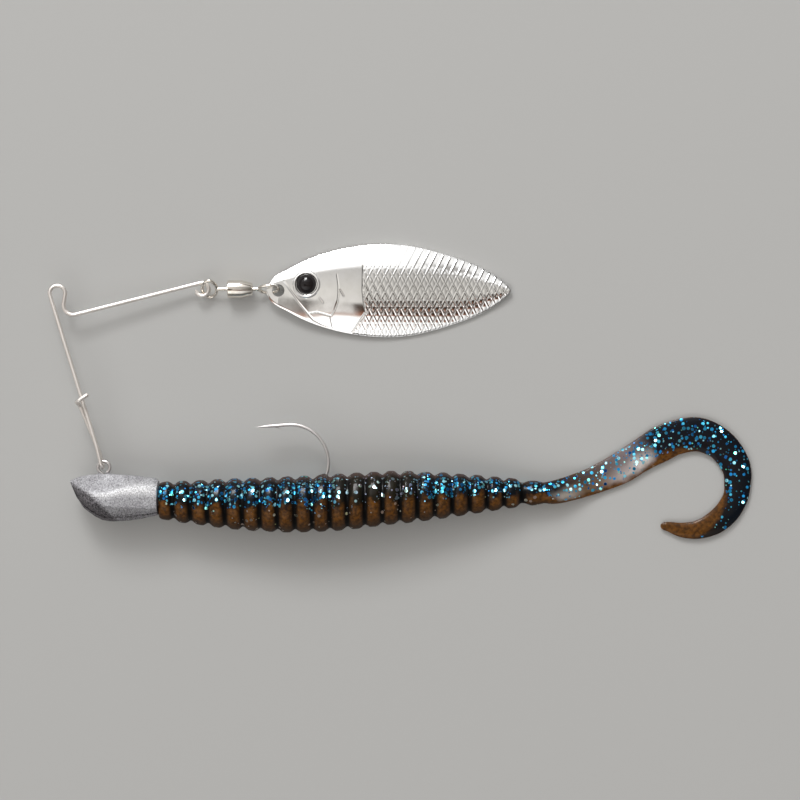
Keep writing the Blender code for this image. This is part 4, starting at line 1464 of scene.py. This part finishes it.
# Way along X and along Y as shares of the reach, and the width as a share of the widest
TAIL_CURL = [
    (0.000, 0.000, 0.58), (0.077, 0.007, 0.67), (0.250, 0.058, 0.75), (0.394, 0.123, 0.88),
    (0.496, 0.186, 0.90), (0.601, 0.247, 1.00), (0.675, 0.280, 0.97), (0.770, 0.299, 0.97),
    (0.847, 0.284, 0.93), (0.922, 0.238, 0.87), (0.976, 0.168, 0.84), (0.998, 0.109, 0.79),
    (1.000, 0.051, 0.75), (0.990, -0.024, 0.70), (0.945, -0.101, 0.69), (0.877, -0.159, 0.64),
    (0.795, -0.191, 0.51), (0.719, -0.193, 0.42), (0.650, -0.177, 0.29), (0.618, -0.172, 0.20),
    (0.606, -0.170, 0.07),
]


def catmull(a, b, c, d, t):
    """A place between b and c on the smooth curve through four values."""
    bend = 2 * a - 5 * b + 4 * c - d
    twist = 3 * b - a - 3 * c + d
    return 0.5 * (2 * b + (c - a) * t + bend * t * t + twist * t ** 3)


def smooth_run(points, pieces):
    """A smooth run through given points, with so many pieces between each two."""
    run = []
    for n in range(len(points) - 1):
        four = [points[min(max(n + k, 0), len(points) - 1)] for k in (-1, 0, 1, 2)]
        for step in range(pieces):
            run.append(tuple(catmull(*values, step / pieces) for values in zip(*four)))
    run.append(points[-1])
    return run


root = place["tail_flex"]
curl = smooth_run(TAIL_CURL, CURL_STEPS)
spine = [Vector((x * TAIL_REACH, y * TAIL_REACH, 0.0)) for x, y, _ in curl]
runs = run_lengths(spine)
for n, (spot, (_, _, wide)) in enumerate(zip(spine, curl)):
    heading = (spine[min(n + 1, len(spine) - 1)] - spine[max(n - 1, 0)]).normalized()
    flat = ease(runs[n], 0.0, TAIL_BLEND)
    thick = ROOT_RADIUS * (1 - flat) + TAIL_THICKNESS / 2 * flat
    thick *= THIN_TIP + (1.0 - THIN_TIP) * min(wide / THIN_FROM, 1.0)
    centre = Vector((root.x + spot.x, root.y + spot.y, thick))
    side = Vector((-heading.y, heading.x, 0.0))
    stations.append((centre, side, TAIL_WIDTH / 2 * wide, thick, 0.0, runs[n] / runs[-1]))
print("worm rings:", len(stations))

# %% [markdown]
# Rolling the grid is a vertex move in code: the column says which station, the row says the turn. The
# skin gets a slow noise, because soft plastic comes out of its mould a little uneven, and a small pucker
# where the hook breaks out of the back. Attributes remember, at every point, where it lies at rest, how
# far it is to the back, how deep in a groove and how far along the tail, and the finish reads them.

# %% Roll the worm
AROUND = 72
SKIN_WOBBLE = 0.10 * MM
WOBBLE_SIZES = (2.2 * MM, 0.9 * MM)
FINE_WOBBLE = 0.6
TAIL_WOBBLE = 0.4
TAIL_BEGINS = 0.02
PUCKER_HEIGHT = 0.3 * MM
PUCKER_REACH = 1.1 * MM
EXIT_SHARE = 0.43
EXIT_SAG = BELLY_SAG * 0.7
SEAM = 0.002 * MM
WORM_ANGLE = 70

last = len(stations) - 1
deselect()
bpy.ops.mesh.primitive_grid_add(x_subdivisions=last, y_subdivisions=AROUND, size=1.0)
worm = added("ribbed_worm")
exit_y = SHANK_Y + worm_radius(EXIT_SHARE) - EXIT_SAG
exit_x = BEND.x + math.sqrt(max(BEND_RADIUS ** 2 - (BEND.y - exit_y) ** 2, 0.0))
hook_exit = Vector((exit_x, exit_y, EYE.z))
labels = {"back": [], "groove": [], "tail": []}
rest_place = []
for vertex in worm.data.vertices:
    turn = math.tau * round((vertex.co.y + 0.5) * AROUND) / AROUND - math.pi / 2
    centre, side, half, thick, groove, tail = stations[round((vertex.co.x + 0.5) * last)]
    out = side * math.cos(turn) * half + Vector((0.0, 0.0, math.sin(turn) * thick))
    spot = centre + out
    shake = SKIN_WOBBLE * lumps(spot, WOBBLE_SIZES, FINE_WOBBLE)
    if tail > TAIL_BEGINS:
        shake *= TAIL_WOBBLE
    pucker = PUCKER_HEIGHT * math.exp(-((spot - hook_exit).length / PUCKER_REACH) ** 2)
    spot += out.normalized() * (shake + pucker)
    spot.z = max(spot.z, 0.0)
    vertex.co = spot
    rest_place.extend(spot)
    for name, value in (("back", math.cos(turn)), ("groove", groove), ("tail", tail)):
        labels[name].append(value)
for name, values in labels.items():
    worm.data.attributes.new(name, "FLOAT", "POINT").data.foreach_set("value", values)
worm.data.attributes.new("rest_place", "FLOAT_VECTOR", "POINT").data.foreach_set("vector", rest_place)
edit(worm)
bpy.ops.mesh.remove_doubles(threshold=SEAM)
bpy.ops.mesh.select_all(action="DESELECT")
bpy.ops.mesh.select_mode(type="EDGE")
bpy.ops.mesh.select_non_manifold()
bpy.ops.mesh.fill_holes(sides=0)
turn_out()
smooth_faces(worm, WORM_ANGLE)
print("worm", len(worm.data.polygons), "faces")

# %% [markdown]
# The plastic is poured in two colours, a smoky blue-black back over an amber belly, and a slow noise
# makes the line between them wander. Along the thin tail the smoke clears and closes again, and a pale
# painted reflection lies on stretches of it. Grooves and the underside are painted darker, as painted
# shade where less light gets in, and a painted glow lies along the top of the back and the tail's thin
# edges.

# %% Worm colours
SMOKE = (0.003, 0.005, 0.008)
OLIVE = (0.013, 0.010, 0.005)
# Painted shade in the grooves
GROOVE_SHADE = (0.001, 0.0012, 0.0015)
AMBERS = [(0.060, 0.024, 0.005), (0.170, 0.066, 0.011)]
# Painted shade on the amber, toward the underside and in the grooves
AMBER_SHADE = (0.010, 0.006, 0.0035)
# Painted glow at the top edge of the back and at the tail's thin edges
RIM_GLOW = (0.085, 0.052, 0.044)
EDGE_GLOW = (0.20, 0.125, 0.09)
BLOTCH = 0.34
TAIL_BLOTCH = 0.4
BLOTCH_SCALE = 480.0
MOTTLE_SCALE = 1500.0
MOTTLE_SPAN = (0.35, 0.65)
# How much of a tint shows at most
UNDER_SHADE = 0.85
RIM_GLOW_SHOWS = 0.8
EDGE_GLOW_SHOWS = 0.75
# Spans over which one tint goes into another: along the tail, then from -1 at the belly to 1 at the back,
# and last by depth in a groove
TAIL_SPAN = (0.005, 0.05)
WHOLE_SIDE = (-1.2, 1.2)
UPPER_SPAN = (-0.30, 0.20)
UNDER_SPAN = (-1.0, -0.45)
RIM_GLOW_SPAN = (0.80, 0.97)
TAIL_LOWER_SPAN = (-0.5, 0.45)
EDGE_GLOW_SPAN = (0.955, 0.985)
SHADE_SPAN = (0.0, 0.75)
GROOVE_SHADE_SPAN = (0.55, 1.0)
SMOKE_SHADE_SPAN = (0.15, 0.8)
# How far the belly's amber reaches up the side along the tail: 0 is none, 0.5 the middle, 1 all
BELLY_REACH = [
    (0.00, 0.50), (0.05, 0.22), (0.30, 0.20), (0.37, 0.32), (0.46, 0.16), (0.54, 0.03), (0.70, 0.04),
    (0.81, 0.42), (0.93, 1.0),
]
# Tint along the tail, first of the upper side and then of the lower; the pale stops are a painted
# reflection, a sheen on the flat tail
TAIL_UPPER_TINT_AND_SHEEN = [
    (0.00, (0.004, 0.006, 0.009)), (0.05, (0.018, 0.013, 0.012)), (0.11, (0.075, 0.046, 0.034)),
    (0.17, (0.110, 0.078, 0.066)), (0.28, (0.230, 0.185, 0.190)), (0.36, (0.004, 0.005, 0.010)),
    (0.80, (0.004, 0.006, 0.010)), (0.95, (0.035, 0.020, 0.008)), (1.00, (0.035, 0.020, 0.008)),
]
TAIL_LOWER_TINT_AND_SHEEN = [
    (0.00, (0.004, 0.006, 0.009)), (0.025, (0.400, 0.370, 0.345)), (0.07, (0.420, 0.370, 0.330)),
    (0.12, (0.170, 0.105, 0.060)), (0.17, (0.200, 0.130, 0.088)), (0.23, (0.460, 0.400, 0.385)),
    (0.32, (0.720, 0.660, 0.640)), (0.36, (0.006, 0.006, 0.010)), (1.00, (0.012, 0.009, 0.008)),
]


def worm_colour(nodes, at, back, groove, tail, clear):
    """Amber belly under a smoky back, with painted shade, a painted glow at the edges and a painted sheen
    on the tail, and the mask that tells them apart.
    """
    on_tail = nodes.remap(tail, *TAIL_SPAN)
    drift = nodes.remap(nodes.noise(at, BLOTCH_SCALE, detail=4.0), *GRAIN_SPAN, -BLOTCH, BLOTCH)
    blotch = nodes.times(drift, nodes.remap(on_tail, 0.0, 1.0, 1.0, TAIL_BLOTCH))
    height = nodes.math("ADD", back, blotch)
    reach = nodes.remap(nodes.ramp(tail, BELLY_REACH), 0.0, 1.0, *WHOLE_SIDE)
    upper = nodes.soft(nodes.math("SUBTRACT", height, reach), *UPPER_SPAN)

    mottle = nodes.remap(nodes.noise(at, MOTTLE_SCALE, detail=4.0), *MOTTLE_SPAN)
    amber = nodes.mix(mottle, *AMBERS)
    # Painted shade: the amber darkens toward the underside and in the grooves
    painted_under_shade = nodes.soft(back, *UNDER_SPAN, UNDER_SHADE, 0.0)
    painted_shade = nodes.math("MAXIMUM", painted_under_shade, nodes.remap(groove, *SHADE_SPAN))
    amber = nodes.mix(nodes.times(painted_shade, nodes.math("SUBTRACT", 1.0, on_tail)), amber, AMBER_SHADE)
    amber = nodes.mix(nodes.remap(groove, *GROOVE_SHADE_SPAN), amber, GROOVE_SHADE)

    smoke = nodes.mix(clear, SMOKE, OLIVE)
    # Painted shade in the grooves of the smoky back
    smoke = nodes.mix(nodes.remap(groove, *SMOKE_SHADE_SPAN), smoke, GROOVE_SHADE)
    # Painted glow along the top edge of the back
    smoke = nodes.mix(nodes.soft(back, *RIM_GLOW_SPAN, 0.0, RIM_GLOW_SHOWS), smoke, RIM_GLOW)
    # Painted sheen: pale tints on stretches of the tail, over its own colours
    tail_lower = nodes.soft(height, *TAIL_LOWER_SPAN, 1.0, 0.0)
    tail_tint_and_sheen = nodes.mix(tail_lower, nodes.ramp(tail, TAIL_UPPER_TINT_AND_SHEEN), nodes.ramp(tail, TAIL_LOWER_TINT_AND_SHEEN))
    smoke = nodes.mix(on_tail, smoke, tail_tint_and_sheen)

    skin = nodes.mix(upper, amber, smoke)
    # Painted glow along the tail's thin edges
    edge_glow = nodes.remap(nodes.math("ABSOLUTE", back), *EDGE_GLOW_SPAN, 0.0, EDGE_GLOW_SHOWS)
    return nodes.mix(nodes.times(edge_glow, on_tail), skin, EDGE_GLOW), upper


print("tints along the tail:", len(TAIL_UPPER_TINT_AND_SHEEN) + len(TAIL_LOWER_TINT_AND_SHEEN))

# %% [markdown]
# There is glitter in both colours. Voronoi cells make it: each cell that is kept is one flake with its
# own colour and tilt, so some flash and some stay dark. It thins out along the tail, toward the top of
# the back and where the plastic is clearer over the hook's bend.

# %% Glitter
FLAKE_COLOURS = [
    (0.00, (0.004, 0.03, 0.12)), (0.16, (0.01, 0.14, 0.42)), (0.45, (0.02, 0.30, 0.58)),
    (0.68, (0.08, 0.50, 0.68)), (0.90, (0.42, 0.78, 0.86)), (1.00, (0.03, 0.40, 0.24)),
]
GOLD = (0.42, 0.25, 0.08)
# Share of the back's flakes that is kept along the tail
TAIL_FLAKES = [
    (0.02, 1.0), (0.06, 0.55), (0.18, 0.6), (0.30, 0.9), (0.45, 0.95), (0.56, 0.55), (0.80, 0.5),
    (0.90, 0.15),
]
# Cells a metre, and the radius of a flake in its cell
FLAKES = (1120.0, 0.44)
DUST = (1900.0, 0.36)
# Share of the cells that hold a flake, on the belly and on the back, and what is kept of it elsewhere
FLAKE_SHARES = (0.06, 0.85)
TOP_SPAN = (0.72, 0.95)
TOP_KEEPS = 0.35
CLEAR_KEEPS = 0.5
DUST_KEEPS = 0.6
# Share of gold among the flakes, which fades as the smoke begins
BELLY_GOLD = 0.7
CLEAR_GOLD = 0.45
GOLD_SPAN = (0.1, 0.5)
FLAKE_EDGE = 0.75
FLAKE_TILT = 0.9


def flake_layer(nodes, at, scale, size, share):
    """One layer of glitter: which spots are flakes, each cell's random colour, and one part of it."""
    cells = nodes.cells(at, scale)
    pick_at, hue_at, _ = nodes.split("Color", cells["Color"])
    round_spot = nodes.remap(cells["Distance"], size, size * FLAKE_EDGE)
    return nodes.times(round_spot, nodes.math("LESS_THAN", pick_at, share)), cells["Color"], hue_at


def glitter_layers(nodes, at, back, tail, clear, upper):
    """Where the glitter is, its colour, and the normal of each flake."""
    fewer = nodes.times(
        nodes.ramp(tail, TAIL_FLAKES), nodes.remap(back, *TOP_SPAN, 1.0, TOP_KEEPS),
        nodes.remap(clear, 0.0, 1.0, 1.0, CLEAR_KEEPS))
    share = nodes.times(nodes.remap(upper, 0.0, 1.0, *FLAKE_SHARES), fewer)
    flakes, random, flake_hue = flake_layer(nodes, at, *FLAKES, share)
    dust, _, dust_hue = flake_layer(nodes, at, *DUST, nodes.times(share, DUST_KEEPS))
    glitter = nodes.math("MAXIMUM", flakes, dust)
    hue = nodes.ramp(nodes.mix(flakes, dust_hue, flake_hue), FLAKE_COLOURS)
    below = nodes.remap(upper, *GOLD_SPAN, BELLY_GOLD, 0.0)
    golden = nodes.math("MAXIMUM", below, nodes.times(clear, CLEAR_GOLD))

    tilt = nodes.vector("SUBTRACT", random, (0.5, 0.5, 0.5))
    lean = nodes.vector("SCALE", tilt, nodes.times(glitter, FLAKE_TILT))
    facing = nodes.vector("ADD", nodes.add("NewGeometry").outputs["Normal"], lean)
    return glitter, nodes.mix(golden, hue, GOLD), nodes.vector("NORMALIZE", facing)


print("flake colours:", len(FLAKE_COLOURS))

# %% [markdown]
# The finish puts the glitter over the colours, lets a little light into the plastic, and adds a thin
# clear coat for the wet gloss, which stays out of the grooves.

# %% Worm finish
CLEAR_FROM = (-15.0 * MM, -10.0 * MM)
CLEAR_TO = (0.0, 6.0 * MM)
COAT = 0.17
COAT_SPAN = (0.2, 0.8)
BACK_GROOVES = 0.3
FLAKE_METAL = 0.95
# Roughness of the plastic and of a flake
WORM_ROUGH = (0.5, 0.30)
PLASTIC = {
    "Specular IOR Level": 0.05, "Subsurface Weight": 0.12, "Subsurface Radius": (1.0, 0.4, 0.12),
    "Subsurface Scale": 0.5 * MM, "Coat Roughness": 0.14,
}


def worm_finish():
    finish, nodes, shader = new_finish("flaked_worm", PLASTIC)
    at = nodes.attribute("rest_place", "Vector")
    back = nodes.attribute("back")
    groove = nodes.attribute("groove")
    tail = nodes.attribute("tail")
    along, _, _ = nodes.split("XYZ", at)
    clear = nodes.times(nodes.soft(along, *CLEAR_FROM), nodes.soft(along, *CLEAR_TO, 1.0, 0.0))
    base, upper = worm_colour(nodes, at, back, groove, tail, clear)
    glitter, hue, facing = glitter_layers(nodes, at, back, tail, clear, upper)
    deep = nodes.times(nodes.remap(groove, *COAT_SPAN), nodes.remap(upper, 0.0, 1.0, 1.0, BACK_GROOVES))
    nodes.fill(shader, {
        "Base Color": nodes.mix(glitter, base, hue),
        "Metallic": nodes.times(glitter, FLAKE_METAL),
        "Roughness": nodes.remap(glitter, 0.0, 1.0, *WORM_ROUGH),
        "Normal": facing,
        "Coat Weight": nodes.remap(deep, 0.0, 1.0, COAT, 0.0),
    })
    return finish


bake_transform(worm)
hand_over(worm, None, "worm_rubber", worm_finish(), "worm_body", "worm_tail")

# %% [markdown]
# ## Last measure
# The box of the dressed lure is printed beside the box of the solids. The dressed lure has to stay
# inside the box of the solids.

# %% Sizes and finish
low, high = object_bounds()
for name, size in (("solids", cad_high - cad_low), ("dressed", high - low)):
    print(name, [round(length / MM, 2) for length in size])
